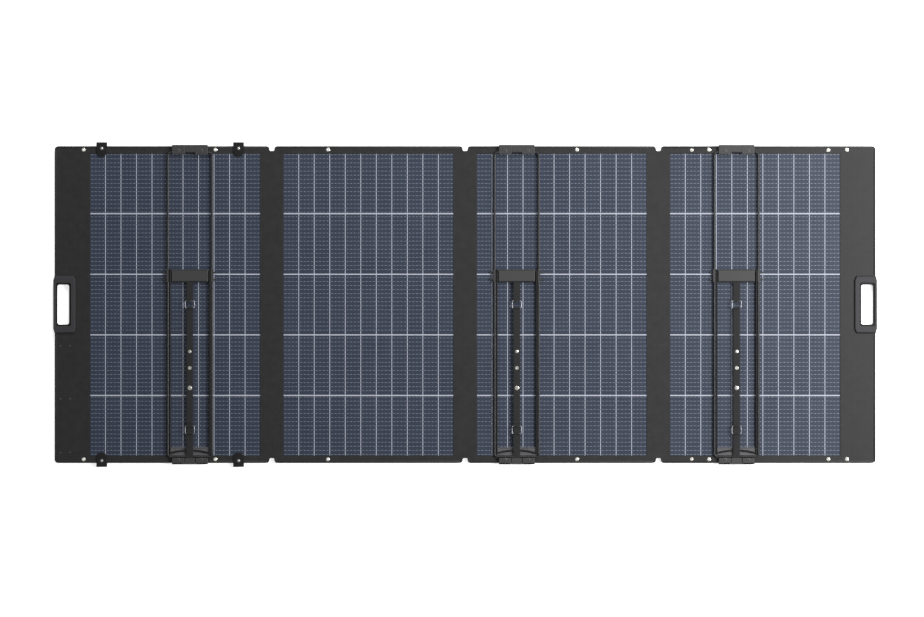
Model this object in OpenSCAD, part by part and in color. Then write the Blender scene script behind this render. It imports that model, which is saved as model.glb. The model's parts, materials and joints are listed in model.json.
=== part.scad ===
// Fold-out bifacial solar panel: four leaves joined by fabric folds, three prop stands on the rear
// side, two grip handles and a junction box on the sunny side. It lies open on its sunny side:
// X runs along the row of leaves, Y up the cells, Z out of the rear side. Millimetres.

/* [Cells] */
// Width of one cell strip
cell_w = 45.5; // [38:0.5:55]
// Length of one cell strip
cell_l = 182; // [150:1:210]
// Number of strips across a leaf
columns = 11; // [10:1:13]
// Number of strips up a leaf
rows = 5; // [5:1:6]
// White line between neighbouring columns
column_gap = 1.75; // [1:0.05:3]
// White line between neighbouring rows
row_gap = 2.5; // [1:0.1:5]
// Width of the tinned ribbon that gathers each end of the cell strings
ribbon_w = 3; // [2:0.5:4]

/* [Leaves] */
// Fabric between the cells and a fold line
fold_margin = 35.3; // [32:0.1:50]
// Fabric between the cells and the handle end
end_margin = 108.1; // [100:0.1:140]
// Fabric between the cells and the long edges
edge_margin = 22.5; // [20.5:0.1:35]
// Radius of the four outer corners
corner_r = 11; // [2:1:20]
// Thickness of each fabric cover
cover_t = 1; // [0.6:0.1:2]
// Thickness of each clear sheet
sheet_t = 0.5; // [0.3:0.1:1]
// Thickness of the cell layer
layer_t = 0.6; // [0.4:0.1:1]
// Clear border that shows round the cells in each cover's window
window_gap = 1; // [0.5:0.1:2]
// How far the clear sheets run under the covers past the cells
sheet_lap = 5.5; // [5:0.1:7]
// Play of the sheets in their pocket
pocket_play = 0.2; // [0.1:0.05:0.5]

/* [Folds] */
// Half the width of the flexible strip at each fold
strip_half = 17; // [16.6:0.1:22]
// Width of the notch at the ends of a fold
notch_w = 15; // [10:1:20]
// Depth of the notch at the ends of a fold
notch_depth = 15; // [10:1:16]
// Radius of a notch's outer corners
notch_outer_r = 9; // [4:1:9]
// Radius of a notch's inner corners
notch_inner_r = 5; // [2:1:5]
// Gap between two sunny sides that are folded together
front_gap = 3; // [3:0.5:8]
// Gap between two rear sides that are folded together
rear_gap = 14; // [14:0.5:20]

/* [Handles] */
// Width of a handle along the row
handle_w = 67; // [60:1:74]
// Length of a handle along its grip
handle_l = 177.5; // [150:1:240]
// How far a handle stands past the end edge
handle_out = 4; // [3:0.5:8]
// Width of the grip opening
grip_w = 36; // [32:1:40]
// Length of the grip opening
grip_l = 121.5; // [100:0.5:130]
// Corner radius of the grip opening
grip_r = 5; // [2:1:10]
// Distance from the end edge to the middle of the grip opening
grip_inset = 26; // [25:0.5:28]
// Wall of the collar that lines the grip opening
collar = 2; // [1.5:0.5:4]
// Height of the rear shell of a handle
handle_rear_h = 7; // [5:0.5:12]
// Height of the front shell of a handle, which the leaves stand on
handle_front_h = 8; // [6:0.5:10]
// Length of the slanted corners of a handle
handle_cut_l = 15; // [5:1:20]
// Depth of the slanted inner corners of a handle
handle_cut_w = 5; // [3:1:10]
// Depth of the moulded recess round the grip opening
grip_recess = 1.2; // [0.5:0.1:2]
// Width of the moulded recess round the grip opening
grip_recess_w = 5; // [3:0.5:5]

/* [Eyelets and studs] */
// Hole radius of an eyelet
eyelet_hole_r = 3.25; // [2.5:0.05:3.5]
// Flange radius of an eyelet
eyelet_r = 6; // [5:0.1:7]
// Wall of an eyelet's barrel
eyelet_wall = 0.6; // [0.4:0.1:0.8]
// Thickness of an eyelet's flange
eyelet_t = 0.9; // [0.5:0.1:1.2]
// Distance of the eyelets from the long edges
eyelet_inset = 11.1; // [10:0.1:11.5]
// Distance of the corner eyelets from the end edges
corner_eyelet = 88; // [80:1:95]
// Distance of the eyelet on leaf 1 from its fold
eyelet_1 = 172.4; // [150:0.1:176]
// Distance of the eyelet on leaf 2 from its fold with leaf 1
eyelet_2 = 170.6; // [60:0.1:400]
// Distance of the eyelet on leaf 3 from its fold with leaf 4
eyelet_3 = 248.6; // [100:0.1:300]
// Distance of the eyelet on leaf 4 from its fold
eyelet_4 = 153.4; // [130:0.1:160]
// Distance of the studs from the long edges
stud_inset = 12; // [11:0.5:13]
// Radius of a stud's base ring
stud_r = 6; // [5:0.5:7]
// Height of a stud's post
stud_h = 1.6; // [1:0.1:1.6]
// Thickness of a stud's base ring
stud_t = 0.6; // [0.4:0.1:0.9]

/* [Closure tabs] */
// Distance of the tabs and studs nearer the fold from that fold
tab_near = 101.4; // [90:0.1:110]
// Distance of the tabs and studs nearer the handle from the fold
tab_far = 517.9; // [480:0.1:530]
// Width of a closure tab
tab_w = 33; // [25:1:40]
// How far a closure tab stands past the long edge
tab_out = 13; // [10:0.5:16]
// How far a closure tab reaches in from the long edge
tab_in = 32; // [28:0.5:40]
// Distance of a tab's snap cap from the long edge
cap_inset = 7; // [6.5:0.5:14]
// Height of a tab's snap cap
cap_h = 1; // [0.6:0.1:1.2]
// Thickness of the webbing of the tabs and the cable loops
tab_t = 1.2; // [0.8:0.1:1.5]

/* [Junction box] */
// Length of the junction box along the end edge
box_l = 150; // [110:1:170]
// Width of the junction box
box_w = 44; // [40:1:50]
// Height of the junction box and the cable loops
box_h = 7.5; // [6:0.1:8]
// Wall of the junction box
box_wall = 1.6; // [1.2:0.1:2]
// Distance of the junction box's middle from the end edge
box_inset = 30; // [26:0.5:32]
// Place of the junction box's middle below the handle's middle
box_down = 176; // [172:1:190]
// Radius of the cable gland
gland_r = 3.4; // [3:0.1:3.6]
// Radius of the bore for the cable
gland_bore = 2; // [1.5:0.1:2.4]
// How far the gland stands out of the box
gland_l = 7; // [4:0.5:10]
// Thickness of the circuit board
board_t = 1.2; // [0.8:0.1:1.6]
// Height of a bypass diode
diode_h = 1.6; // [1:0.1:2]
// Width of a bypass diode
diode_w = 10; // [6:1:14]
// Length of a bypass diode
diode_l = 12; // [8:1:16]
// Places of the two cable loops as shares of the way from the box to the long edge
loop_share = [0.13, 0.86]; // [0.1:0.01:0.88]
// Width of a cable loop's webbing
loop_w = 20; // [15:1:24]
// Step of the cable loops' middle in from the box's middle
loop_in = 2; // [0:0.5:3]
// Length of a cable loop
loop_l = 52; // [44:1:56]
// Length of the sewn end of a cable loop
loop_sewn = 6; // [4:0.5:8]
// Thickness of the webbing under a cable loop
loop_base_t = 1; // [0.8:0.1:1.5]
// Radius of the rivet heads over the box and the loops
rivet_r = 2.4; // [1.5:0.1:3]
// Height of a rivet head
rivet_h = 0.6; // [0.4:0.1:1]
// Distance of a pair's rivets from the middle of the box
rivet_half = 14.5; // [10:0.5:16]

/* [Prop stands] */
// Distance of the stand on leaf 1 from its fold
stand_1 = 249.4; // [200:0.1:300]
// Distance of the stand on leaf 3 from its fold with leaf 2
stand_3 = 157; // [125:0.1:200]
// Distance of the stand on leaf 4 from its fold
stand_4 = 237.4; // [230:0.1:300]
// Wire radius of the outer frame
outer_wire_r = 3; // [2.5:0.1:3.2]
// Wire radius of the inner frame
inner_wire_r = 2.75; // [2.2:0.05:2.8]
// Distance of the outer frame's side wires from the stand's middle
outer_half = 67; // [56:0.1:81]
// Step from the outer frame's side wires in to the inner frame's
frame_step = 6.4; // [6.2:0.1:7]
// Bend radius of the outer frame's corners
outer_bend = 10; // [8:0.5:12]
// Distance of both end runs of the outer frame from the long edges
run_inset = 19.5; // [19.5:0.1:24]
// Height of the wires' middle above the rear cover
wire_h = 5.5; // [5:0.1:5.6]
// How far the ends of both brackets stop short of the side wires
bracket_short = 12.5; // [11:0.5:14]
// Height of both brackets
bracket_h = 11; // [10.6:0.1:11.5]
// How far the top bracket reaches in from the edge
top_bracket_in = 24.7; // [24:0.1:30]
// How far the middle of the top bracket reaches in
knuckle_in = 18.4; // [16:0.1:19]
// Width of the top bracket's middle
knuckle_w = 30; // [24:1:40]
// How far both brackets stand past the edge
bracket_out = 3.7; // [3:0.1:6]
// Thickness of a bracket's plate on the sunny side
clamp_t = 1; // [0.8:0.1:1.2]
// Distance of the screws from the stand's middle
screw_half = 35; // [30:1:42]
// Radius of a screw's shank
screw_r = 1.75; // [1.5:0.05:1.8]
// Distance of the top screws from the long edge
top_screw_in = 13.7; // [13:0.1:15]
// Distance of the bottom screws from the long edge
low_screw_in = 11; // [10:0.1:11.5]
// Height of a screw's head
screw_head_h = 0.8; // [0.5:0.1:1.2]
// Distance of the bottom bracket's two grooves from its middle
groove_half = 16.6; // [14:0.1:20]
// Width of a groove in the bottom bracket
groove_w = 1.2; // [0.8:0.1:2]
// Depth of a groove in the bottom bracket
groove_depth = 1; // [0.5:0.1:2]
// Depth of the strap's slot in the bottom bracket
slot_depth = 6; // [4:0.5:8]
// Radius of a screw's head
screw_head_r = 5; // [3.5:0.1:5.2]
// Running clearance of a wire in its bore
running = 0.05; // [0.03:0.01:0.08]
// Place of the cross plate's top edge above the leaf's middle
plate_top = 107; // [60:1:150]
// Height of the cross plate up the leaf
plate_l = 38; // [30:1:50]
// Distance of the inner frame's pivot below the cross plate's top edge
pivot_down = 4.6; // [4.4:0.1:8]
// Length of a pivot pin
pivot_l = 12; // [8:1:20]
// How far the cross plate's block stops short of the side wires
plate_short = 11.5; // [11:0.1:13]
// How far the cross plate's ears reach past the side wires' middle
ear_over = 4.5; // [4.5:0.1:9]
// How far the small hooks stand past the ears
hook_l = 9.5; // [6:0.5:12]
// Width of a small hook
hook_w = 4; // [3:0.5:6]
// Place of the upper hooks below the cross plate's top edge
hook_top = 7; // [5:0.5:10]
// Place of the lower hooks above the cross plate's lower edge
hook_low = 5; // [4:0.5:10]
// Gap between the rear cover and the plates of a folded stand
plate_lift = 0.6; // [0.4:0.1:0.8]
// Height of the foot plate up the leaf
foot_l = 25; // [20:1:30]
// Rise of the bowed run above the foot's wire corners
bow = 9; // [5:0.5:11]
// Place of the inner frame's lower corners above the foot plate's lower edge
foot_corner = 7; // [6:0.5:9]

/* [Strap] */
// Width of the strap
strap_w = 20; // [16:1:24]
// Thickness of the strap
strap_t = 1; // [0.8:0.1:1.2]
// Height of the strap above the rear cover
strap_h = 9.2; // [9:0.1:9.4]
// Place of the upper ring above the leaf's middle
ring_top = 0.5; // [-20:0.5:20]
// Place of the lower ring above the leaf's lower edge
ring_up = 101; // [85:0.5:140]
// Outer width of a ring
ring_w = 31; // [27:0.5:36]
// Outer height of a ring
ring_l = 25; // [20:0.5:30]
// Wire radius of a ring
ring_r = 1.5; // [1:0.1:1.6]
// Places of the three snaps below the upper ring
snap_down = [143.5, 193.5, 254.5]; // [100:0.5:280]
// Height of a snap on the strap
snap_h = 1.2; // [0.8:0.1:1.6]

/* [Hidden] */
$fn = 48;

// Height of the drop that each wire joint stands proud of its wire
weld = 0.2;
// Spare length of a cutting tool past each face
past = 1;
// Gap between pieces that pass each other
pass_gap = 0.4;
block_w = columns * cell_w + (columns - 1) * column_gap;
block_l = rows * cell_l + (rows - 1) * row_gap;
middle_w = block_w + 2 * fold_margin;
end_w = block_w + fold_margin + end_margin;
half_l = block_l / 2 + edge_margin;
half_w = middle_w + end_w;
folds = [-middle_w, 0, middle_w];
leaf_lo = [-half_w, folds[0] + strip_half, folds[1] + strip_half, folds[2] + strip_half];
leaf_hi = [folds[0] - strip_half, folds[1] - strip_half, folds[2] - strip_half, half_w];
block_x = [
    folds[0] - fold_margin - block_w / 2,
    (folds[0] + folds[1]) / 2,
    (folds[1] + folds[2]) / 2,
    folds[2] + fold_margin + block_w / 2
];
front_z = handle_front_h;
sheet_z = front_z + cover_t;
layer_z = sheet_z + sheet_t;
rear_sheet_z = layer_z + layer_t;
rear_cover_z = rear_sheet_z + sheet_t;
rear_z = rear_cover_z + cover_t;
parting_z = (front_z + rear_z) / 2;
eyelet_y = half_l - eyelet_inset;
eyelet_x = [
    [-half_w + corner_eyelet, folds[0] - eyelet_1],
    [folds[0] + eyelet_2],
    [folds[2] - eyelet_3],
    [folds[2] + eyelet_4, half_w - corner_eyelet]
];
stand_x = [folds[0] - stand_1, 0, folds[1] + stand_3, folds[2] + stand_4];
wire_z = rear_z + wire_h;
run_y = half_l - run_inset;
top_screw_y = half_l - top_screw_in;
low_screw_y = -half_l + low_screw_in;
inner_half = outer_half - frame_step;
plate_half = outer_half - plate_short;
ear_half = outer_half + ear_over;
bracket_half = outer_half - bracket_short;
low_bracket_y = -run_y - outer_wire_r - pass_gap;
foot_y = -run_y + outer_wire_r + pass_gap;
plate_low = plate_top - plate_l;
pivot_y = plate_top - pivot_down;
plate_z = rear_z + plate_lift;
strap_z = rear_z + strap_h;
strap_low = low_bracket_y + pass_gap;
strap_high = plate_low - pass_gap;
ring_low = half_l - ring_up;
box_end = box_down + box_l / 2 + gland_l;
loop_y = [for (share = loop_share) -box_end - share * (half_l - box_end)];
rivet_y = [-box_down + box_l / 3, loop_y[0], loop_y[1]];
grip_x = half_w - grip_inset;
tab_x = [folds[0] - tab_near, folds[0] - tab_far];
stud_y = half_l - stud_inset;
tab_z = rear_z + tab_t + 0.3;
screws = [-screw_half, screw_half];
ends = [-1, 1];

// ---- shared shapes ----

// A flat slab over x0..x1, y0..y1 and z0..z1
module slab(x0, x1, y0, y1, z0, z1) {
    translate([x0, y0, z0]) cube([x1 - x0, y1 - y0, z1 - z0]);
}

// A rectangle of w by l round the origin with round corners
module round_rect(w, l, r) {
    union() {
        square([w - 2 * r, l], center = true);
        square([w, l - 2 * r], center = true);
        for (sx = ends)
            for (sy = ends)
                translate([sx * (w / 2 - r), sy * (l / 2 - r)]) circle(r);
    }
}

// The flat outline of leaf k, with round corners at the handle ends
module leaf_outline(k) {
    lo = leaf_lo[k - 1];
    hi = leaf_hi[k - 1];
    if (k == 2 || k == 3) {
        translate([lo, -half_l]) square([hi - lo, 2 * half_l]);
    } else {
        side = k == 1 ? 1 : -1;
        outer = k == 1 ? lo : hi;
        inner = k == 1 ? hi : lo;
        union() {
            translate([min(outer + side * corner_r, inner), -half_l])
                square([abs(inner - outer) - corner_r, 2 * half_l]);
            translate([min(outer, outer + side * corner_r), -half_l + corner_r])
                square([corner_r, 2 * (half_l - corner_r)]);
            for (s = ends)
                translate([outer + side * corner_r, s * (half_l - corner_r)]) circle(corner_r);
        }
    }
}

// A rectangle round leaf k's cells, larger than them by gap all round
module cell_block(k, gap) {
    translate([block_x[k - 1], 0])
        square([block_w + 2 * gap, block_l + 2 * gap], center = true);
}

// The opening that the grip and its collar need in a cover
module grip_hole(k) {
    if (k == 1 || k == 4)
        translate([(k == 1 ? -1 : 1) * grip_x, 0])
            round_rect(grip_w + 2 * collar, grip_l + 2 * collar, grip_r + collar);
}

// Every round hole that fasteners need through leaf k
module fastener_holes(k) {
    for (x = eyelet_x[k - 1])
        for (s = ends)
            translate([x, s * eyelet_y]) circle(eyelet_hole_r + eyelet_wall);
    if (k != 2)
        for (u = screws) {
            translate([stand_x[k - 1] + u, top_screw_y]) circle(screw_r);
            translate([stand_x[k - 1] + u, low_screw_y]) circle(screw_r);
        }
}

// ---- leaves ----

// The fabric cover on the sunny side, with a rim that holds the sheets
module front_cover(k) {
    color("#242424") union() {
        translate([0, 0, front_z]) linear_extrude(cover_t) difference() {
            leaf_outline(k);
            cell_block(k, window_gap);
            grip_hole(k);
            fastener_holes(k);
        }
        translate([0, 0, sheet_z]) linear_extrude(rear_cover_z - sheet_z) difference() {
            leaf_outline(k);
            cell_block(k, sheet_lap + pocket_play);
            grip_hole(k);
            fastener_holes(k);
        }
    }
}

// The fabric cover on the rear side
module rear_cover(k) {
    color("#2f2f2f") translate([0, 0, rear_cover_z]) linear_extrude(cover_t) difference() {
        leaf_outline(k);
        cell_block(k, window_gap);
        grip_hole(k);
        fastener_holes(k);
    }
}

// The two clear sheets that seal the cells
module clear_sheets(k) {
    color("#c8d0d8", 0.4) for (z = [sheet_z, rear_sheet_z])
        translate([0, 0, z]) linear_extrude(sheet_t) cell_block(k, sheet_lap);
}

// All the cell strips of leaf k, as flat rectangles
module cell_squares(k) {
    for (i = [0 : columns - 1])
        for (j = [0 : rows - 1])
            translate([
                block_x[k - 1] - block_w / 2 + i * (cell_w + column_gap),
                -block_l / 2 + j * (cell_l + row_gap)
            ]) square([cell_w, cell_l]);
}

// The cell strips and the two ribbons that gather them
module cell_strings(k) {
    color("#363d4d") union() {
        translate([0, 0, layer_z]) linear_extrude(layer_t) cell_squares(k);
        for (s = ends)
            slab(
                block_x[k - 1] + s * (block_w / 2 + sheet_lap - ribbon_w / 2) - ribbon_w / 2,
                block_x[k - 1] + s * (block_w / 2 + sheet_lap - ribbon_w / 2) + ribbon_w / 2,
                -block_l / 2, block_l / 2, layer_z, layer_z + layer_t
            );
    }
}

// The white grid between and around the cells
module white_grid(k) {
    color("#b8bcc8") translate([0, 0, layer_z]) linear_extrude(layer_t) difference() {
        translate([block_x[k - 1], 0])
            square([block_w + 2 * (sheet_lap - ribbon_w), block_l + 2 * sheet_lap], center = true);
        cell_squares(k);
    }
}

// The flexible strip that joins two leaves, notched at both ends
module fold_strip(n) {
    half = notch_w / 2;
    color("#2c2c2c") translate([folds[n - 1], 0, front_z])
        linear_extrude(rear_z - front_z) difference() {
            square([2 * strip_half, 2 * half_l], center = true);
            for (s = ends)
                translate([0, s * half_l]) {
                    round_rect(notch_w, 2 * notch_depth, notch_inner_r);
                    for (sx = ends)
                        difference() {
                            translate([sx * (half + notch_outer_r / 2), -s * notch_outer_r / 2])
                                square([notch_outer_r, notch_outer_r], center = true);
                            translate([sx * (half + notch_outer_r), -s * notch_outer_r])
                                circle(notch_outer_r);
                        }
                }
        }
}

// ---- handles ----

// The outline of a handle for the end side (-1 or 1), with slanted inner corners
module handle_outline(side) {
    outer = half_w + handle_out;
    inner = outer - handle_w;
    y = handle_l / 2;
    polygon([
        [side * half_w, -y],
        [side * outer, -y + handle_cut_l],
        [side * outer, y - handle_cut_l],
        [side * half_w, y],
        [side * (inner + handle_cut_w), y],
        [side * inner, y - handle_cut_l],
        [side * inner, -y + handle_cut_l],
        [side * (inner + handle_cut_w), -y]
    ]);
}

// The grip opening, larger by grow all round
module grip_outline(side, grow) {
    translate([side * grip_x, 0])
        round_rect(grip_w + 2 * grow, grip_l + 2 * grow, grip_r + grow);
}

// One shell between z0 and z1, with its collar and its rim past the edge between z2 and z3
module handle_shell(side, z0, z1, z2, z3) {
    translate([0, 0, z0]) linear_extrude(z1 - z0) difference() {
        handle_outline(side);
        grip_outline(side, 0);
    }
    translate([0, 0, z2]) linear_extrude(z3 - z2) union() {
        difference() {
            grip_outline(side, collar);
            grip_outline(side, 0);
        }
        intersection() {
            handle_outline(side);
            translate([side * (half_w + handle_out / 2), 0])
                square([handle_out, handle_l], center = true);
        }
    }
}

// The shell on the sunny side
module handle_front(side) {
    color("#303032") handle_shell(side, 0, front_z, front_z, parting_z);
}

// The shell on the rear side, with a recess round the opening
module handle_rear(side) {
    top = rear_z + handle_rear_h;
    color("#3c3c3e") difference() {
        handle_shell(side, rear_z, top, parting_z, rear_z);
        translate([0, 0, top - grip_recess]) linear_extrude(grip_recess + past)
            grip_outline(side, grip_recess_w);
    }
}

// ---- fasteners ----

// One eyelet through the leaf, with a flange on each side
module eyelet() {
    rotate_extrude() union() {
        translate([eyelet_hole_r, front_z - eyelet_t])
            square([eyelet_wall, rear_z - front_z + 2 * eyelet_t]);
        for (z = [front_z - eyelet_t, rear_z])
            translate([eyelet_hole_r, z]) square([eyelet_r - eyelet_hole_r, eyelet_t]);
    }
}

// One screw from the top of a bracket to the plate on the sunny side
module screw() {
    top = rear_z + bracket_h;
    low = front_z - clamp_t;
    translate([0, 0, low]) cylinder(r = screw_r, h = top - low);
    translate([0, 0, top]) cylinder(r = screw_head_r, h = screw_head_h);
    translate([0, 0, low - screw_head_h]) cylinder(r = 2 * screw_r, h = screw_head_h);
}

// One snap stud: a base ring with a post
module stud() {
    translate([0, 0, rear_z]) cylinder(r = stud_r, h = stud_t);
    translate([0, 0, rear_z]) cylinder(r = stud_r / 2, h = stud_h);
}

// The metal pieces fixed to leaf k
module fasteners(k) {
    color("#b4b4b0") union() {
        for (x = eyelet_x[k - 1])
            for (s = ends)
                translate([x, s * eyelet_y, 0]) eyelet();
        if (k != 2)
            for (u = screws) {
                translate([stand_x[k - 1] + u, top_screw_y, 0]) screw();
                translate([stand_x[k - 1] + u, low_screw_y, 0]) screw();
            }
        if (k == 1)
            for (y = rivet_y)
                for (s = ends)
                    translate([-half_w + box_inset + loop_in + s * rivet_half, y, rear_z])
                        cylinder(r = rivet_r, h = rivet_h);
        if (k == 4)
            for (d = [tab_near, tab_far])
                for (s = ends)
                    translate([folds[2] + d, s * stud_y, 0]) stud();
    }
}

// ---- closure tabs ----

// The flat outline of a tab over the edge: square outside, half round inside
module tab_outline(reach) {
    r = tab_w / 2;
    union() {
        translate([-r, -reach + r]) square([tab_w, reach - r + tab_out]);
        translate([0, -reach + r]) circle(r);
    }
}

// The folded-back flap of tab n with its snap cap
module closure_tab(n) {
    x = tab_x[n <= 2 ? 0 : 1];
    s = n % 2 == 1 ? 1 : -1;
    color("#222222") translate([x, s * half_l, 0]) rotate([0, 0, s > 0 ? 0 : 180])
        union() {
            translate([0, 0, tab_z]) linear_extrude(tab_t) tab_outline(tab_in);
            translate([0, -cap_inset, tab_z + tab_t]) cylinder(r = stud_r, h = cap_h);
        }
}

// The sewn-down webbing under each flap
module tab_bases() {
    r = tab_w / 2;
    color("#242424") for (x = tab_x)
        for (s = ends)
            translate([x, s * half_l, rear_z])
                rotate([0, 0, s > 0 ? 0 : 180])
                    slab(-r, r, -stud_inset, tab_out, 0, tab_t);
}

// ---- junction box ----

// The box on the sunny side of leaf 1 and the lid that closes it
module junction_box() {
    x = -half_w + box_inset;
    w = box_w / 2;
    l = box_l / 2;
    low = front_z - box_h;
    color("#1e1e1e") translate([x, -box_down, 0]) union() {
        difference() {
            slab(-w, w, -l, l, low + box_wall, front_z);
            slab(-w + box_wall, w - box_wall, -l + box_wall, l - box_wall, low, front_z - box_wall);
            translate([0, -l + box_wall / 2, low + box_h / 2]) rotate([90, 0, 0])
                cylinder(r = gland_bore, h = box_wall + 2 * past, center = true);
        }
        slab(-w, w, -l, l, low, low + box_wall);
        translate([0, -l, low + box_h / 2]) rotate([90, 0, 0]) difference() {
            cylinder(r = gland_r, h = gland_l);
            translate([0, 0, -past]) cylinder(r = gland_bore, h = gland_l + 2 * past);
        }
    }
}

// The board with the three bypass diodes inside the box
module junction_board() {
    x = -half_w + box_inset;
    top = front_z - box_wall;
    w = box_w / 2 - box_wall - pass_gap;
    l = box_l / 2 - box_wall - pass_gap;
    color("#1f5c3a") translate([x, -box_down, 0]) union() {
        slab(-w, w, -l, l, top - board_t, top);
        for (n = [-1 : 1])
            slab(-diode_w / 2, diode_w / 2, n * l / 2 - diode_l / 2, n * l / 2 + diode_l / 2,
                top - board_t - diode_h, top - board_t);
    }
}

// The two webbing loops on the sunny side that the lead is stowed under
module cable_loops() {
    x = -half_w + box_inset + loop_in;
    w = loop_l / 2;
    open = w - loop_sewn;
    low = front_z - box_h;
    color("#242424") for (y = loop_y)
        translate([x, y, 0]) difference() {
            slab(-w, w, -loop_w / 2, loop_w / 2, low, front_z);
            slab(-open, open, -loop_w, loop_w, low + tab_t, front_z - loop_base_t);
        }
}

// ---- prop stands ----

// A straight wire between two points along X or Y
module wire(from, to, r) {
    d = to - from;
    translate(from) rotate(abs(d[0]) > abs(d[1]) ? [0, d[0] > 0 ? 90 : -90, 0]
        : [d[1] > 0 ? -90 : 90, 0, 0]) cylinder(r = r, h = norm(d));
}

// A quarter bend of wire of centreline radius bend, from +X towards +Y
module wire_bend(bend, r, turn) {
    rotate([0, 0, turn]) rotate_extrude(angle = 90) translate([bend, 0]) circle(r);
}

// The brackets of one stand: rear halves with their bores and slots, and front plates
module brackets(k) {
    x = stand_x[k - 1];
    w = bracket_half;
    low = front_z - clamp_t;
    top = rear_z + bracket_h;
    out = half_l + bracket_out;
    color("#333333") translate([x, 0, 0]) difference() {
        union() {
            slab(-w, w, half_l - top_bracket_in, half_l, rear_z, top);
            slab(-w, w, half_l, out, low, top);
            slab(-w, w, half_l - knuckle_in, half_l, low, front_z);
            slab(-w, w, -half_l, low_bracket_y, rear_z, top);
            slab(-w, w, -out, -half_l, low, top);
            slab(-w, w, -half_l, low_bracket_y, low, front_z);
        }
        slab(-knuckle_w / 2, knuckle_w / 2, half_l - top_bracket_in - past,
            half_l - knuckle_in, rear_z, top + past);
        translate([-w - past, run_y, wire_z]) rotate([0, 90, 0])
            cylinder(r = outer_wire_r + running, h = 2 * (bracket_half + past));
        for (s = ends)
            slab(s * groove_half - groove_w / 2, s * groove_half + groove_w / 2, -out - past,
                low_bracket_y + past, top - groove_depth, top + past);
        slab(-strap_w / 2 - pass_gap, strap_w / 2 + pass_gap, low_bracket_y - slot_depth,
            low_bracket_y + past, strap_z - pass_gap, strap_z + strap_t + pass_gap);
        for (u = screws)
            for (y = [top_screw_y, low_screw_y])
                translate([u, y, low - past]) cylinder(r = screw_r, h = top - low + 2 * past);
    }
}

// The full-height wire frame that hangs from the top bracket
module outer_frame(k) {
    a = outer_half - outer_bend;
    b = run_y - outer_bend;
    color("#262626") translate([stand_x[k - 1], 0, wire_z]) union() {
        for (s = ends) {
            wire([-a, s * run_y, 0], [a, s * run_y, 0], outer_wire_r);
            wire([s * outer_half, -b, 0], [s * outer_half, b, 0], outer_wire_r);
        }
        translate([a, b, 0]) wire_bend(outer_bend, outer_wire_r, 0);
        translate([-a, b, 0]) wire_bend(outer_bend, outer_wire_r, 90);
        translate([-a, -b, 0]) wire_bend(outer_bend, outer_wire_r, 180);
        translate([a, -b, 0]) wire_bend(outer_bend, outer_wire_r, 270);
    }
}

// The moulded plate across the outer frame that carries the inner frame's pivots
module cross_plate(k) {
    ear_in = outer_half;
    plate_mid = wire_z - outer_wire_r;
    top = wire_z + outer_wire_r + 0.3;
    color("#404040") translate([stand_x[k - 1], 0, 0]) difference() {
        union() {
            slab(-ear_half, ear_half, plate_low, plate_top, plate_z, plate_mid);
            slab(-plate_half, plate_half, plate_low, plate_top, plate_mid, top);
            for (s = ends) {
                slab(min(s * ear_in, s * ear_half), max(s * ear_in, s * ear_half),
                    plate_low, plate_top, plate_mid, top);
                for (y = [plate_top - hook_top - hook_w, plate_low + hook_low])
                    slab(min(s * ear_half, s * (ear_half + hook_l)),
                        max(s * ear_half, s * (ear_half + hook_l)), y, y + hook_w, plate_z, plate_mid);
            }
        }
        for (s = ends) {
            wire([s * outer_half, plate_low - past, wire_z],
                [s * outer_half, plate_top + past, wire_z], outer_wire_r);
            wire([s * (plate_half - pivot_l), pivot_y, wire_z],
                [s * (plate_half + past), pivot_y, wire_z], inner_wire_r + running);
        }
    }
}

// The shorter wire frame that swings on the cross plate
module inner_frame(k) {
    y1 = foot_y + foot_corner;
    a = inner_half;
    r = inner_wire_r;
    // radius of the bowed run through both corners
    bow_r = (a * a + bow * bow) / (2 * bow);
    half_angle = asin(a / bow_r);
    color("#222222") translate([stand_x[k - 1], 0, wire_z]) union() {
        for (s = ends) {
            wire([s * a, y1, 0], [s * a, pivot_y, 0], r);
            wire([s * (plate_half - pivot_l + pass_gap), pivot_y, 0], [s * a, pivot_y, 0], r);
            translate([s * a, pivot_y, 0]) sphere(r + weld);
            translate([s * a, y1, 0]) sphere(r + weld);
        }
        translate([0, y1 + bow - bow_r, 0]) rotate([0, 0, 90 - half_angle])
            rotate_extrude(angle = 2 * half_angle) translate([bow_r, 0]) circle(r);
    }
}

// The foot plate under the bowed run
module foot_plate(k) {
    a = inner_half + inner_wire_r;
    color("#3a3a3a") translate([stand_x[k - 1], 0, 0])
        slab(-a, a, foot_y, foot_y + foot_l, plate_z, wire_z - inner_wire_r - weld);
}

// The three lengths of webbing between the rings
module strap(k) {
    w = strap_w / 2;
    hem = ring_l / 2 - 2 * ring_r;
    color("#2c2c2c") translate([stand_x[k - 1], 0, 0]) union() {
        slab(-w, w, ring_top + hem, strap_high, strap_z, strap_z + strap_t);
        slab(-w, w, -ring_low + hem, ring_top - hem, strap_z, strap_z + strap_t);
        slab(-w, w, strap_low, -ring_low - hem, strap_z, strap_z + strap_t);
    }
}

// The two wire rings and the three snaps of a strap
module strap_hardware(k) {
    a = ring_w / 2 - ring_r;
    b = ring_l / 2 - ring_r;
    z = strap_z + strap_t + ring_r;
    color("#9a9a9a") translate([stand_x[k - 1], 0, 0]) union() {
        for (y = [ring_top, -ring_low])
            translate([0, y, z]) union() {
                for (s = ends) {
                    wire([-a, s * b, 0], [a, s * b, 0], ring_r);
                    wire([s * a, -b, 0], [s * a, b, 0], ring_r);
                    for (t = ends)
                        translate([s * a, t * b, 0]) sphere(ring_r);
                }
            }
        for (d = snap_down)
            translate([0, ring_top - d, strap_z + strap_t]) cylinder(r = stud_r, h = snap_h);
    }
}

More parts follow.
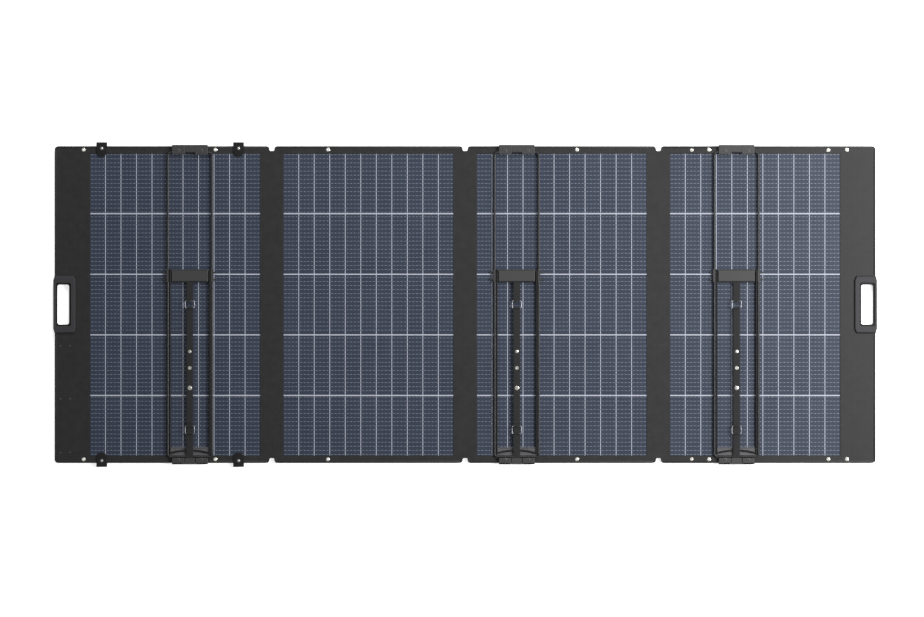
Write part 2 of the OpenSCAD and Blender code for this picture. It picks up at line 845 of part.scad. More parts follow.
front_cover(1);  // front_cover_1
front_cover(2);  // front_cover_2
front_cover(3);  // front_cover_3
front_cover(4);  // front_cover_4
rear_cover(1);  // rear_cover_1
rear_cover(2);  // rear_cover_2
rear_cover(3);  // rear_cover_3
rear_cover(4);  // rear_cover_4
clear_sheets(1);  // clear_sheets_1
clear_sheets(2);  // clear_sheets_2
clear_sheets(3);  // clear_sheets_3
clear_sheets(4);  // clear_sheets_4
cell_strings(1);  // cell_strings_1
cell_strings(2);  // cell_strings_2
cell_strings(3);  // cell_strings_3
cell_strings(4);  // cell_strings_4
white_grid(1);  // white_grid_1
white_grid(2);  // white_grid_2
white_grid(3);  // white_grid_3
white_grid(4);  // white_grid_4
fold_strip(1);  // fold_strip_1
fold_strip(2);  // fold_strip_2
fold_strip(3);  // fold_strip_3
handle_front(-1);  // handle_front_1
handle_front(1);  // handle_front_4
handle_rear(-1);  // handle_rear_1
handle_rear(1);  // handle_rear_4
fasteners(1);  // fasteners_1
fasteners(2);  // fasteners_2
fasteners(3);  // fasteners_3
fasteners(4);  // fasteners_4
closure_tab(1);  // closure_tab_1
closure_tab(2);  // closure_tab_2
closure_tab(3);  // closure_tab_3
closure_tab(4);  // closure_tab_4
tab_bases();
junction_box();
junction_board();
cable_loops();
brackets(1);  // brackets_1
brackets(3);  // brackets_3
brackets(4);  // brackets_4
outer_frame(1);  // outer_frame_1
outer_frame(3);  // outer_frame_3
outer_frame(4);  // outer_frame_4
cross_plate(1);  // cross_plate_1
cross_plate(3);  // cross_plate_3
cross_plate(4);  // cross_plate_4
inner_frame(1);  // inner_frame_1
inner_frame(3);  // inner_frame_3
inner_frame(4);  // inner_frame_4
foot_plate(1);  // foot_plate_1
foot_plate(3);  // foot_plate_3
foot_plate(4);  // foot_plate_4
strap(1);  // strap_1
strap(3);  // strap_3
strap(4);  // strap_4
strap_hardware(1);  // strap_hardware_1
strap_hardware(3);  // strap_hardware_3
strap_hardware(4);  // strap_hardware_4
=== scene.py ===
"""Looks of a fold-out bifacial solar panel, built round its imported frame.

Every sub-assembly is a class that makes its own pieces in millimetres and hands them to the frame's bodies.
"""

import json
import logging
import math
from dataclasses import dataclass
from enum import Enum

import bmesh
import bpy
from mathutils import Matrix, Vector


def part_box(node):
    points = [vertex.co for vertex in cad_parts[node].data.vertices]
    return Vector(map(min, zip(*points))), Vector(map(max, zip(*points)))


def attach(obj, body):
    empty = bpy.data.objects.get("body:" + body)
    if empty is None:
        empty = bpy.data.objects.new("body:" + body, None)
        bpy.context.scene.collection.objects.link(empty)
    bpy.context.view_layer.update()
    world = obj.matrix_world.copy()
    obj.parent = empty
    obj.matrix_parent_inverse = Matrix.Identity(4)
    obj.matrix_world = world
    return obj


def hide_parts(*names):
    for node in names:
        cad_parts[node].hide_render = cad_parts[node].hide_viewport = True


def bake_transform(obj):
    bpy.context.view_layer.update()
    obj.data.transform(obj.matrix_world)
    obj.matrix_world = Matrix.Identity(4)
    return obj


Tree = bpy.types.NodeTree
Node = bpy.types.Node
Socket = bpy.types.NodeSocket

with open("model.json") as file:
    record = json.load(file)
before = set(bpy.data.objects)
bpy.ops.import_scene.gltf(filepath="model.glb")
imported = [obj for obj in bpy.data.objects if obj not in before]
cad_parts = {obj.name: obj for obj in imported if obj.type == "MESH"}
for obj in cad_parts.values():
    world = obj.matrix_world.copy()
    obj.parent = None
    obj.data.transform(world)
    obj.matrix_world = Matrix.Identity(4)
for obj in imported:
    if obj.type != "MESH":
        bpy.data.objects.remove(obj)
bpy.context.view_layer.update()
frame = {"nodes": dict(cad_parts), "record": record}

MM = 0.001
LOG = logging.getLogger("solar_panel")
ENDS = (-1, 1)
# two places this close, in millimetres, are one
TOUCH = 0.01
# a box's edges are rounded by at most this share of its least size
EDGE_SHARE = 0.48
# an edge that turns further than this stays sharp
SHARP = math.radians(38)
# radius of the edges of bound cloth, and the pitch of stitches on webbing
SOFT = 0.2
STITCH = 3.2
LEAVES = (1, 2, 3, 4)
# the leaves that have a stand, and those that have a handle
STANDS = (1, 3, 4)
GRIPPED = (1, 4)
FOLDS = (1, 2, 3)
TABS = (1, 2, 3, 4)


# ---- small helpers ----


def linear(code: str) -> tuple[float, float, float, float]:
    """Turns an sRGB hex colour into linear light.

    Args:
        code: Six hex digits after a hash.

    Returns:
        Red, green, blue and an alpha of one.
    """
    parts = [int(code[i : i + 2], 16) / 255 for i in (1, 3, 5)]
    light = [c / 12.92 if c <= 0.04045 else ((c + 0.055) / 1.055) ** 2.4 for c in parts]
    return (*light, 1.0)


def add_node(tree: Tree, kind: str, inputs: dict | None = None, **settings: object) -> Node:
    """Adds a shader node with its settings and links.

    Args:
        tree: The material's node tree.
        kind: The node's type name.
        inputs: Socket name or number to a value, or to the socket that feeds it.
        **settings: Properties of the node itself.

    Returns:
        The new node.
    """
    node = tree.nodes.new(kind)
    for name, value in settings.items():
        setattr(node, name, value)
    for key, value in (inputs or {}).items():
        if isinstance(value, Socket):
            tree.links.new(value, node.inputs[key])
        else:
            node.inputs[key].default_value = value
    return node


def box_mm(node: str) -> tuple[Vector, Vector]:
    """The lowest and highest corners of a CAD node, in millimetres."""
    low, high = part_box(node)
    return Vector(low) / MM, Vector(high) / MM


# ---- finishes ----


# a wave texture turns through 20 radians a unit at a scale of 1
WAVE = 2 * math.pi / 20


class Axis(Enum):
    """The direction that a pattern's lines are counted along."""

    X = "X"
    Y = "Y"


def scale_of(size_mm: float) -> float:
    """The scale at which a texture repeats once in a real size."""
    return 1 / (size_mm * MM)


@dataclass(frozen=True)
class Finish:
    """What every finish has: a name, a colour and how it shines."""

    name: str
    colour: str
    roughness: float = 0.6
    metallic: float = 0.0

    def material(self) -> bpy.types.Material:
        """The material of this finish, made once.

        Returns:
            The shared material.
        """
        found = bpy.data.materials.get(self.name)
        if found:
            return found
        made = bpy.data.materials.new(self.name)
        made.use_nodes = True
        tree = made.node_tree
        tree.nodes.clear()
        look = {"Base Color": linear(self.colour), "Roughness": self.roughness, "Metallic": self.metallic}
        shader = add_node(tree, "ShaderNodeBsdfPrincipled", look)
        add_node(tree, "ShaderNodeOutputMaterial", {"Surface": shader.outputs[0]})
        coords = add_node(tree, "ShaderNodeTexCoord").outputs["Object"]
        self.detail(tree, shader, coords)
        made.diffuse_color = linear(self.colour)
        return made

    def detail(self, tree: Tree, shader: Node, coords: Socket) -> None:
        """Adds the finish's own pattern; the plain finish has none.

        Args:
            tree: The material's node tree.
            shader: Its Principled shader.
            coords: Object coordinates, in metres.
        """

    def tint(self, tree: Tree, shader: Node, amount: Socket, dark: str, light: str) -> None:
        """Mixes two colours by an amount into the shader's base colour."""
        # the colours of a mix are its sockets 6 and 7, after the number and vector ones
        mix = add_node(tree, "ShaderNodeMix", {"Factor": amount, 6: linear(dark), 7: linear(light)},
                       data_type="RGBA")
        tree.links.new(mix.outputs[2], shader.inputs["Base Color"])

    def relief(self, tree: Tree, shader: Node, height: Socket, depth_mm: float, strength: float) -> None:
        """Lights a height pattern as relief of a real depth."""
        bump = add_node(tree, "ShaderNodeBump",
                        {"Height": height, "Strength": strength, "Distance": depth_mm * MM})
        tree.links.new(bump.outputs[0], shader.inputs["Normal"])

    def uneven(self, tree: Tree, shader: Node, pattern: Socket, spread: float, less: float) -> None:
        """Lets the roughness follow a pattern, over a spread that starts a little below its own value."""
        rough = add_node(tree, "ShaderNodeMath", {0: pattern, 1: spread, 2: self.roughness - less},
                         operation="MULTIPLY_ADD")
        tree.links.new(rough.outputs[0], shader.inputs["Roughness"])

    def blend(self, tree: Tree, first: Socket, share: float, second: Socket, rest: float) -> Socket:
        """The sum of two patterns, each times its own share."""
        part = add_node(tree, "ShaderNodeMath", {0: second, 1: rest}, operation="MULTIPLY").outputs[0]
        both = add_node(tree, "ShaderNodeMath", {0: first, 1: share, 2: part}, operation="MULTIPLY_ADD")
        return both.outputs[0]


@dataclass(frozen=True)
class WovenPolyester(Finish):
    """Coated oxford cloth in a basket weave: matt and dark, with small lighter crossings and a soft bloom."""

    light: str = "#262627"
    # real threads lie about 0.6 mm apart; they are drawn this coarse so that the weave shows
    thread_mm: float = 5.2
    mottle_mm: float = 18.18
    sheen: float = 0.02
    gloss: float = 0.28

    def detail(self, tree: Tree, shader: Node, coords: Socket) -> None:
        """Crossing threads, with slow mottling of the dye and the roughness."""
        lines = {"Vector": coords, "Scale": WAVE * scale_of(self.thread_mm)}
        warp, weft = (add_node(tree, "ShaderNodeTexWave", lines, bands_direction=axis.value).outputs["Fac"]
                      for axis in Axis)
        crossing = add_node(tree, "ShaderNodeMath", {0: warp, 1: weft}, operation="MULTIPLY").outputs[0]
        mottle = add_node(tree, "ShaderNodeTexNoise",
                          {"Vector": coords, "Scale": scale_of(self.mottle_mm), "Detail": 4.0}).outputs[0]
        self.tint(tree, shader, self.blend(tree, crossing, 0.6, mottle, 0.4), self.colour, self.light)
        self.relief(tree, shader, crossing, 0.12, 0.5)
        self.uneven(tree, shader, mottle, 0.12, 0.06)
        shader.inputs["Specular IOR Level"].default_value = self.gloss
        shader.inputs["Sheen Weight"].default_value = self.sheen
        shader.inputs["Sheen Roughness"].default_value = 0.5


@dataclass(frozen=True)
class RibbedWebbing(Finish):
    """Woven polyester webbing: close ribs across the tape, with painted shade in the grooves."""

    # painted shade: the colour of the grooves between the ribs
    groove: str = "#080808"
    rib_mm: float = 1.6
    thread_mm: float = 1.12

    def detail(self, tree: Tree, shader: Node, coords: Socket) -> None:
        """Ribs across the tape and fine threads along it."""
        ways = ((Axis.Y, self.rib_mm), (Axis.X, self.thread_mm))
        ribs, threads = (add_node(tree, "ShaderNodeTexWave",
                                  {"Vector": coords, "Scale": WAVE * scale_of(pitch)},
                                  bands_direction=axis.value).outputs["Fac"] for axis, pitch in ways)
        weave = self.blend(tree, ribs, 0.7, threads, 0.3)
        # the grooves are coloured darker as painted shade
        self.tint(tree, shader, weave, self.groove, self.colour)
        self.relief(tree, shader, weave, 0.2, 0.6)
        shader.inputs["Specular IOR Level"].default_value = 0.3
        shader.inputs["Sheen Weight"].default_value = 0.02


@dataclass(frozen=True)
class CoatedSilicon(Finish):
    """Monocrystalline silicon with a nitride coat: deep blue-black, with hair-fine printed fingers."""

    light: str = "#384150"
    finger_mm: float = 1.3
    drift_mm: float = 111.1

    def detail(self, tree: Tree, shader: Node, coords: Socket) -> None:
        """Fingers up the cell and slow drifts of the coat's colour."""
        lines = {"Vector": coords, "Scale": WAVE * scale_of(self.finger_mm)}
        fingers = add_node(tree, "ShaderNodeTexWave", lines, bands_direction=Axis.X.value).outputs["Fac"]
        line = add_node(tree, "ShaderNodeMath", {0: fingers, 1: 6.0}, operation="POWER").outputs[0]
        cloud = add_node(tree, "ShaderNodeTexNoise",
                         {"Vector": coords, "Scale": scale_of(self.drift_mm), "Detail": 3.0}).outputs[0]
        self.tint(tree, shader, self.blend(tree, line, 0.35, cloud, 0.55), self.colour, self.light)
        shader.inputs["Specular IOR Level"].default_value = 0.35


@dataclass(frozen=True)
class PrintedFilm(Finish):
    """White reflecting film printed behind the cells: even, slightly cool, with faint fibres."""

    light: str = "#c4c9d6"
    fibre_mm: float = 8.333

    def detail(self, tree: Tree, shader: Node, coords: Socket) -> None:
        """A faint cloudiness of the print."""
        cloud = add_node(tree, "ShaderNodeTexNoise",
                         {"Vector": coords, "Scale": scale_of(self.fibre_mm), "Detail": 3.0})
        self.tint(tree, shader, cloud.outputs[0], self.colour, self.light)


@dataclass(frozen=True)
class EmbossedFilm(Finish):
    """Clear fluoropolymer film, embossed while hot: nearly invisible, with a soft glint from its dimples."""

    clear: float = 0.1
    dimple_mm: float = 2.2

    def detail(self, tree: Tree, shader: Node, coords: Socket) -> None:
        """The embossing roller's dimples in a close pattern, seen only as relief."""
        cells = add_node(tree, "ShaderNodeTexVoronoi", {"Vector": coords, "Scale": scale_of(self.dimple_mm)})
        self.relief(tree, shader, cells.outputs["Distance"], 0.06, 0.5)
        shader.inputs["Alpha"].default_value = self.clear
        shader.inputs["IOR"].default_value = 1.4


@dataclass(frozen=True)
class MouldedPlastic(Finish):
    """Glass-filled nylon or ABS from a sparked mould: an even fine grain that breaks up every reflection."""

    light: str = "#303032"
    grain_mm: float = 0.9
    gloss: float = 0.4

    def detail(self, tree: Tree, shader: Node, coords: Socket) -> None:
        """Spark grain as relief, with a slight painted highlight on its tops."""
        grain = add_node(tree, "ShaderNodeTexNoise", {"Vector": coords, "Scale": scale_of(self.grain_mm),
                                                      "Detail": 3.0, "Roughness": 0.6}).outputs[0]
        # painted highlight: the grain's raised tops are coloured slightly lighter
        self.tint(tree, shader, grain, self.colour, self.light)
        self.relief(tree, shader, grain, 0.08, 0.5)
        shader.inputs["Specular IOR Level"].default_value = self.gloss


@dataclass(frozen=True)
class CoatedSteel(Finish):
    """Steel wire in black powder coat: smooth with a faint orange peel and a soft narrow highlight."""

    light: str = "#1c1c1d"
    peel_mm: float = 1.111
    gloss: float = 0.35

    def detail(self, tree: Tree, shader: Node, coords: Socket) -> None:
        """Orange peel of about a millimetre, with a faint painted highlight on its raised spots."""
        shader.inputs["Specular IOR Level"].default_value = self.gloss
        peel = add_node(tree, "ShaderNodeTexNoise",
                        {"Vector": coords, "Scale": scale_of(self.peel_mm), "Detail": 2.0}).outputs[0]
        # painted highlight: the peel's raised spots are coloured slightly lighter
        self.tint(tree, shader, peel, self.colour, self.light)
        self.relief(tree, shader, peel, 0.05, 0.35)


@dataclass(frozen=True)
class PlatedMetal(Finish):
    """Nickel or tin on pressed or bent metal: bright, with fine handling scratches that blur the shine."""

    scratch_mm: float = 1.4286

    def detail(self, tree: Tree, shader: Node, coords: Socket) -> None:
        """Fine streaks in the shine."""
        scratch = add_node(tree, "ShaderNodeTexNoise",
                           {"Vector": coords, "Scale": scale_of(self.scratch_mm), "Detail": 5.0}).outputs[0]
        self.uneven(tree, shader, scratch, 0.25, 0.12)
        self.relief(tree, shader, scratch, 0.01, 0.4)


@dataclass(frozen=True)
class SolderedBoard(Finish):
    """Glass-fibre board under green solder mask: glossy, with lighter copper tracks showing through."""

    light: str = "#2f7a4c"
    track_mm: float = 6.25

    def detail(self, tree: Tree, shader: Node, coords: Socket) -> None:
        """Tracks as a coarse grid under the mask."""
        tracks = add_node(tree, "ShaderNodeTexVoronoi", {"Vector": coords, "Scale": scale_of(self.track_mm)},
                          distance="CHEBYCHEV")
        self.tint(tree, shader, tracks.outputs["Distance"], self.colour, self.light)


CLOTH = WovenPolyester("woven_polyester_cover", "#0c0c0d", 0.5)
BINDING = WovenPolyester("woven_polyester_binding", "#0f0f10", 0.6, light="#1c1c1c", thread_mm=1.8)
THREAD = WovenPolyester("polyester_sewing_thread", "#1c1c1d", 0.6, light="#303031", thread_mm=0.8)
WEBBING = RibbedWebbing("ribbed_polyester_webbing", "#171718", 0.75)
TAB_TAPE = RibbedWebbing("black_polyester_tape", "#080808", 0.9)
CELL = CoatedSilicon("nitride_coated_silicon", "#20283a", 0.46)
GRID = PrintedFilm("printed_white_film", "#a9aebb", 0.6)
FILM = EmbossedFilm("embossed_clear_film", "#10131b", 0.45)
TINNED = PlatedMetal("tinned_copper_wire", "#565d6b", 0.5, 0.1)
SOLDER = PlatedMetal("reflowed_solder", "#8d93a0", 0.45, 0.2)
RIBBON = PrintedFilm("white_gap_tape", "#a6aab6", 0.6, light="#b8bcc8")
HANDLE = MouldedPlastic("moulded_nylon_handle", "#242426", 0.55, light="#303032", gloss=0.2)
# painted shade: near-black plastic for the handle's recess ledge and the stand's pivot pockets, standing in
# for the shade deep in them
RECESS_SHADE = MouldedPlastic("recess_painted_shade", "#0b0b0c", 0.6, light="#121213", gloss=0.2)
BRACKET = MouldedPlastic("moulded_nylon_bracket", "#1f1f20", 0.52, light="#2b2b2c")
PLATE = MouldedPlastic("moulded_nylon_plate", "#202021", 0.5, light="#2e2e2f")
FOOT = MouldedPlastic("moulded_nylon_foot", "#3b3b3d", 0.5, light="#4a4a4c")
CASE = MouldedPlastic("moulded_case_plastic", "#1b1b1c", 0.5, light="#2a2a2b")
WIRE = CoatedSteel("powder_coated_steel_wire", "#131314", 0.4)
# painted shade: the inner frame's wire is coloured darker than the outer one for the shade it lies in; its
# shine is also duller
SHADED_INNER_WIRE = CoatedSteel("inner_wire_painted_shade", "#0b0b0c", 0.55, gloss=0.15)
NICKEL = PlatedMetal("nickel_plated_brass", "#d9d6cf", 0.3, 1.0)
STEEL = PlatedMetal("nickel_plated_steel", "#88898c", 0.36, 1.0)
DARK_STEEL = PlatedMetal("blackened_steel", "#444446", 0.5, 0.6)
BOARD = SolderedBoard("solder_masked_board", "#1c5233", 0.35)
FLOOR = Finish("pale_studio_floor", "#ffffff", 0.9)


# ---- shapes ----


def corners_of(geom: list) -> list[bmesh.types.BMVert]:
    """The vertices among the geometry that an operator gives back."""
    return [part for part in geom if isinstance(part, bmesh.types.BMVert)]


class Shape:
    """A mesh in the making, in millimetres, from which one piece comes."""

    def __init__(self) -> None:
        """Starts empty."""
        self.bm = bmesh.new()

    def add(self, other: "Shape", place: Matrix | None = None) -> "Shape":
        """Adds a copy of another shape.

        Args:
            other: The shape to copy.
            place: Where the copy goes, or None for the same place.

        Returns:
            This shape.
        """
        return self.stamp(other, [place or Matrix.Identity(4)])

    def stamp(self, other: "Shape", places: list) -> "Shape":
        """Adds a copy of another shape at each of many places.

        Args:
            other: The shape to copy.
            places: A matrix for each copy.

        Returns:
            This shape.
        """
        spare = bpy.data.meshes.new("spare")
        other.bm.to_mesh(spare)
        for place in places:
            spare.transform(place)
            self.bm.from_mesh(spare)
            spare.transform(place.inverted())
        bpy.data.meshes.remove(spare)
        return self

    def slab(self, low: tuple, high: tuple, edge: float = 0.0, segments: int = 2) -> "Shape":
        """Adds a box with rounded edges.

        Args:
            low: One corner.
            high: The opposite corner.
            edge: Radius of the edges.
            segments: Steps round each edge.

        Returns:
            This shape.
        """
        part = Shape()
        made = bmesh.ops.create_cube(part.bm, size=1.0)["verts"]
        size = Vector([abs(span) for span in Vector(high) - Vector(low)])
        bmesh.ops.scale(part.bm, vec=size, verts=made)
        bmesh.ops.translate(part.bm, vec=(Vector(low) + Vector(high)) / 2, verts=made)
        if edge > 0:
            bmesh.ops.bevel(part.bm, geom=part.bm.edges[:], offset=min(edge, min(size) * EDGE_SHARE),
                            segments=segments, profile=0.5, affect="EDGES", material=-1)
        return self.add(part)

    def lathe(self, profile: list, steps: int = 28, closed: bool = False) -> "Shape":
        """Adds a shape turned about Z.

        Args:
            profile: Radius and height pairs, in order.
            steps: Steps round the turn.
            closed: Whether the last point joins the first, as on a ring.

        Returns:
            This shape.
        """
        part = Shape()
        verts = [part.bm.verts.new((r, 0, z)) for r, z in profile]
        pairs = list(zip(verts, verts[1:])) + ([(verts[-1], verts[0])] if closed else [])
        edges = [part.bm.edges.new(pair) for pair in pairs]
        bmesh.ops.spin(part.bm, geom=verts + edges, cent=(0, 0, 0), axis=(0, 0, 1),
                       angle=2 * math.pi, steps=steps, use_merge=True)
        bmesh.ops.remove_doubles(part.bm, verts=part.bm.verts, dist=1e-4)
        bmesh.ops.recalc_face_normals(part.bm, faces=part.bm.faces)
        return self.add(part)

    def prism(self, outline: list, z0: float, z1: float, hole: list | None = None, edge: float = 0.0,
              shoulder: float = 0.0) -> "Shape":
        """Adds an upright wall-sided plate, with or without a hole.

        Args:
            outline: Corner points of the outside, in order.
            z0: Height of the underside.
            z1: Height of the top.
            hole: As many points round the hole, matched one to one, or None.
            edge: Radius of the top and outer edges.
            shoulder: How far both ends along Y slope in on their way up.

        Returns:
            This shape.
        """
        part = Shape()
        rings = [outline] if hole is None else [outline, hole]
        loops = []
        for ring in rings:
            verts = [part.bm.verts.new((x, y, z0)) for x, y in ring]
            loops += [part.bm.edges.new(pair) for pair in zip(verts, verts[1:] + verts[:1])]
        if hole is None:
            faces = bmesh.ops.contextual_create(part.bm, geom=loops)["faces"]
        else:
            faces = bmesh.ops.bridge_loops(part.bm, edges=loops)["faces"]
        grown = bmesh.ops.extrude_face_region(part.bm, geom=faces)["geom"]
        raised = corners_of(grown)
        bmesh.ops.translate(part.bm, vec=(0, 0, z1 - z0), verts=raised)
        far = max(abs(v.co.y) for v in raised)
        for s in ENDS:
            end = [v for v in raised if s * v.co.y > far - TOUCH]
            bmesh.ops.translate(part.bm, vec=(0, -s * shoulder, 0), verts=end)
        bmesh.ops.recalc_face_normals(part.bm, faces=part.bm.faces)
        if edge > 0:
            sharp = [e for e in part.bm.edges if e.calc_face_angle(0) > math.radians(30)]
            bmesh.ops.bevel(part.bm, geom=sharp, offset=edge, segments=3, profile=0.5,
                            affect="EDGES", material=-1, clamp_overlap=True)
        return self.add(part)

    def tube(self, points: list, radius: float, closed: bool = False, sides: int = 3) -> "Shape":
        """Adds a round wire along a line of points.

        Args:
            points: Points of the wire's middle line.
            radius: Radius of the wire.
            closed: Whether the wire joins up.
            sides: Bevel resolution, where 3 gives ten sides.

        Returns:
            This shape.
        """
        curve = bpy.data.curves.new("spare_wire", "CURVE")
        curve.dimensions = "3D"
        curve.bevel_depth = radius
        curve.bevel_resolution = sides
        curve.use_fill_caps = not closed
        spline = curve.splines.new("POLY")
        spline.points.add(len(points) - 1)
        for point, place in zip(spline.points, points):
            point.co = (*place, 1.0)
        spline.use_cyclic_u = closed
        holder = bpy.data.objects.new("spare_wire", curve)
        mesh = bpy.data.meshes.new_from_object(holder)
        self.bm.from_mesh(mesh)
        bpy.data.objects.remove(holder)
        bpy.data.curves.remove(curve)
        bpy.data.meshes.remove(mesh)
        return self

    def tape(self, low: tuple, high: tuple, rib: float) -> "Shape":
        """Adds a length of ribbed webbing that runs along Y.

        Args:
            low: Lowest corner.
            high: Highest corner.
            rib: Distance from rib to rib.

        Returns:
            This shape.
        """
        part = Shape()
        width, length, thick = (b - a for a, b in zip(low, high))
        rows = max(4, 2 * round(length / rib))
        bmesh.ops.create_grid(part.bm, x_segments=6, y_segments=rows, size=0.5)
        for v in part.bm.verts:
            row = round((v.co.y + 0.5) * rows)
            side = abs(v.co.x) > 0.45
            lift = 0.0 if side else (0.12 * thick if row % 2 else -0.12 * thick)
            v.co = Vector((v.co.x * width, v.co.y * length, thick * (0.26 if side else 0.38) + lift))
        bottom = bmesh.ops.duplicate(part.bm, geom=part.bm.verts[:] + part.bm.edges[:] + part.bm.faces[:])
        bmesh.ops.scale(part.bm, vec=(1, 1, -1), verts=corners_of(bottom["geom"]))
        faces = [g for g in bottom["geom"] if isinstance(g, bmesh.types.BMFace)]
        bmesh.ops.reverse_faces(part.bm, faces=faces)
        bmesh.ops.bridge_loops(part.bm, edges=[e for e in part.bm.edges if e.is_boundary])
        bmesh.ops.recalc_face_normals(part.bm, faces=part.bm.faces)
        centre = (Vector(low) + Vector(high)) / 2
        bmesh.ops.translate(part.bm, vec=centre, verts=part.bm.verts)
        return self.add(part)

    def seam(self, start: tuple, end: tuple, z: float, pitch: float = 5.0, side: int = 1) -> "Shape":
        """Adds a straight row of stitches.

        Args:
            start: Where the row begins, X and Y.
            end: Where it ends.
            z: Height of the cloth's surface.
            pitch: Distance from stitch to stitch.
            side: 1 on a rear surface, -1 on a front one.

        Returns:
            This shape.
        """
        a, b = Vector((*start, z)), Vector((*end, z))
        along = b - a
        count = max(1, int(along.length / pitch))
        stitch = Shape()
        verts = bmesh.ops.create_cube(stitch.bm, size=1.0)["verts"]
        bmesh.ops.scale(stitch.bm, vec=(pitch * 0.72, 0.8, 0.5), verts=verts)
        outer = [v for v in verts if v.co.z * side > 0]
        bmesh.ops.scale(stitch.bm, vec=(0.7, 0.7, 1), verts=outer)
        turn = Matrix.Rotation(math.atan2(along.y, along.x), 4, "Z")
        lift = Vector((0, 0, side * 0.1))
        return self.stamp(stitch, [Matrix.Translation(a + along * ((i + 0.5) / count) + lift) @ turn
                                   for i in range(count)])

    def cut(self, axis: int, start: float, end: float, step: float) -> "Shape":
        """Cuts the faces across an axis at even steps, so that they can bend.

        Args:
            axis: 0 for X, 1 for Y.
            start: Place of the first cut.
            end: Place of the last cut.
            step: Distance from cut to cut.

        Returns:
            This shape.
        """
        normal = Vector([1.0 if i == axis else 0.0 for i in range(3)])
        count = max(1, round((end - start) / step))
        for i in range(count + 1):
            everything = self.bm.verts[:] + self.bm.edges[:] + self.bm.faces[:]
            bmesh.ops.bisect_plane(self.bm, geom=everything, plane_no=normal,
                                   plane_co=normal * (start + (end - start) * i / count))
        return self

    def piece(self, name: str, finish: Finish, slot: str, body: str | None = None, node: str | None = None,
              even: bool = False) -> bpy.types.Object:
        """Turns the shape into a piece.

        Args:
            name: The piece's name.
            finish: Its finish.
            slot: The record's material slot that it stands for; it is not used.
            body: The body that it rides on, or None for a piece that spans two and rides on neither.
            node: The CAD node that it replaces, or None.
            even: Whether broad faces are kept flat beside their rounded edges.

        Returns:
            The new object, at the origin.
        """
        bmesh.ops.scale(self.bm, vec=(MM, MM, MM), verts=self.bm.verts)
        for face in self.bm.faces:
            face.smooth = True
        mesh = bpy.data.meshes.new(name)
        self.bm.to_mesh(mesh)
        self.bm.free()
        mesh.set_sharp_from_angle(angle=SHARP)
        mesh.materials.append(finish.material())
        made = bpy.data.objects.new(name, mesh)
        bpy.context.scene.collection.objects.link(made)
        if even:
            flat = made.modifiers.new("even_faces", "WEIGHTED_NORMAL")
            flat.keep_sharp = True
        if body:
            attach(made, body)
        if node:
            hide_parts(node)
        LOG.info("%s: %d faces, %s", name, len(mesh.polygons), finish.name)
        return made


def copy_of(node: str) -> Shape:
    """A merged copy of a CAD node's mesh, with its flat faces joined up.

    Args:
        node: The node's name.

    Returns:
        The copy, in millimetres.
    """
    shape = Shape()
    shape.bm.from_mesh(frame["nodes"][node].data)
    bmesh.ops.scale(shape.bm, vec=(1 / MM,) * 3, verts=shape.bm.verts)
    bmesh.ops.remove_doubles(shape.bm, verts=shape.bm.verts, dist=1e-3)
    bmesh.ops.dissolve_limit(shape.bm, angle_limit=math.radians(1), verts=shape.bm.verts,
                             edges=shape.bm.edges)
    return shape


def dress(node: str, finish: Finish) -> None:
    """Gives a CAD node that is shown as it is a better finish.

    Args:
        node: The node's name.
        finish: Its finish.
    """
    shown = frame["nodes"][node]
    shown.data.materials.clear()
    shown.data.materials.append(finish.material())
    LOG.info("%s: CAD solid in %s", node, finish.name)


# ---- where things are ----


@dataclass(frozen=True)
class Levels:
    """Heights and edges that every sub-assembly shares, read from the frame."""

    front: float
    rear: float
    half_w: float
    half_l: float

    @classmethod
    def read(cls) -> "Levels":
        """Reads them from the covers' boxes."""
        low, _ = box_mm("front_cover_1")
        _, high = box_mm("rear_cover_4")
        return cls(low.z, high.z, high.x, high.y)


# ---- leaves ----


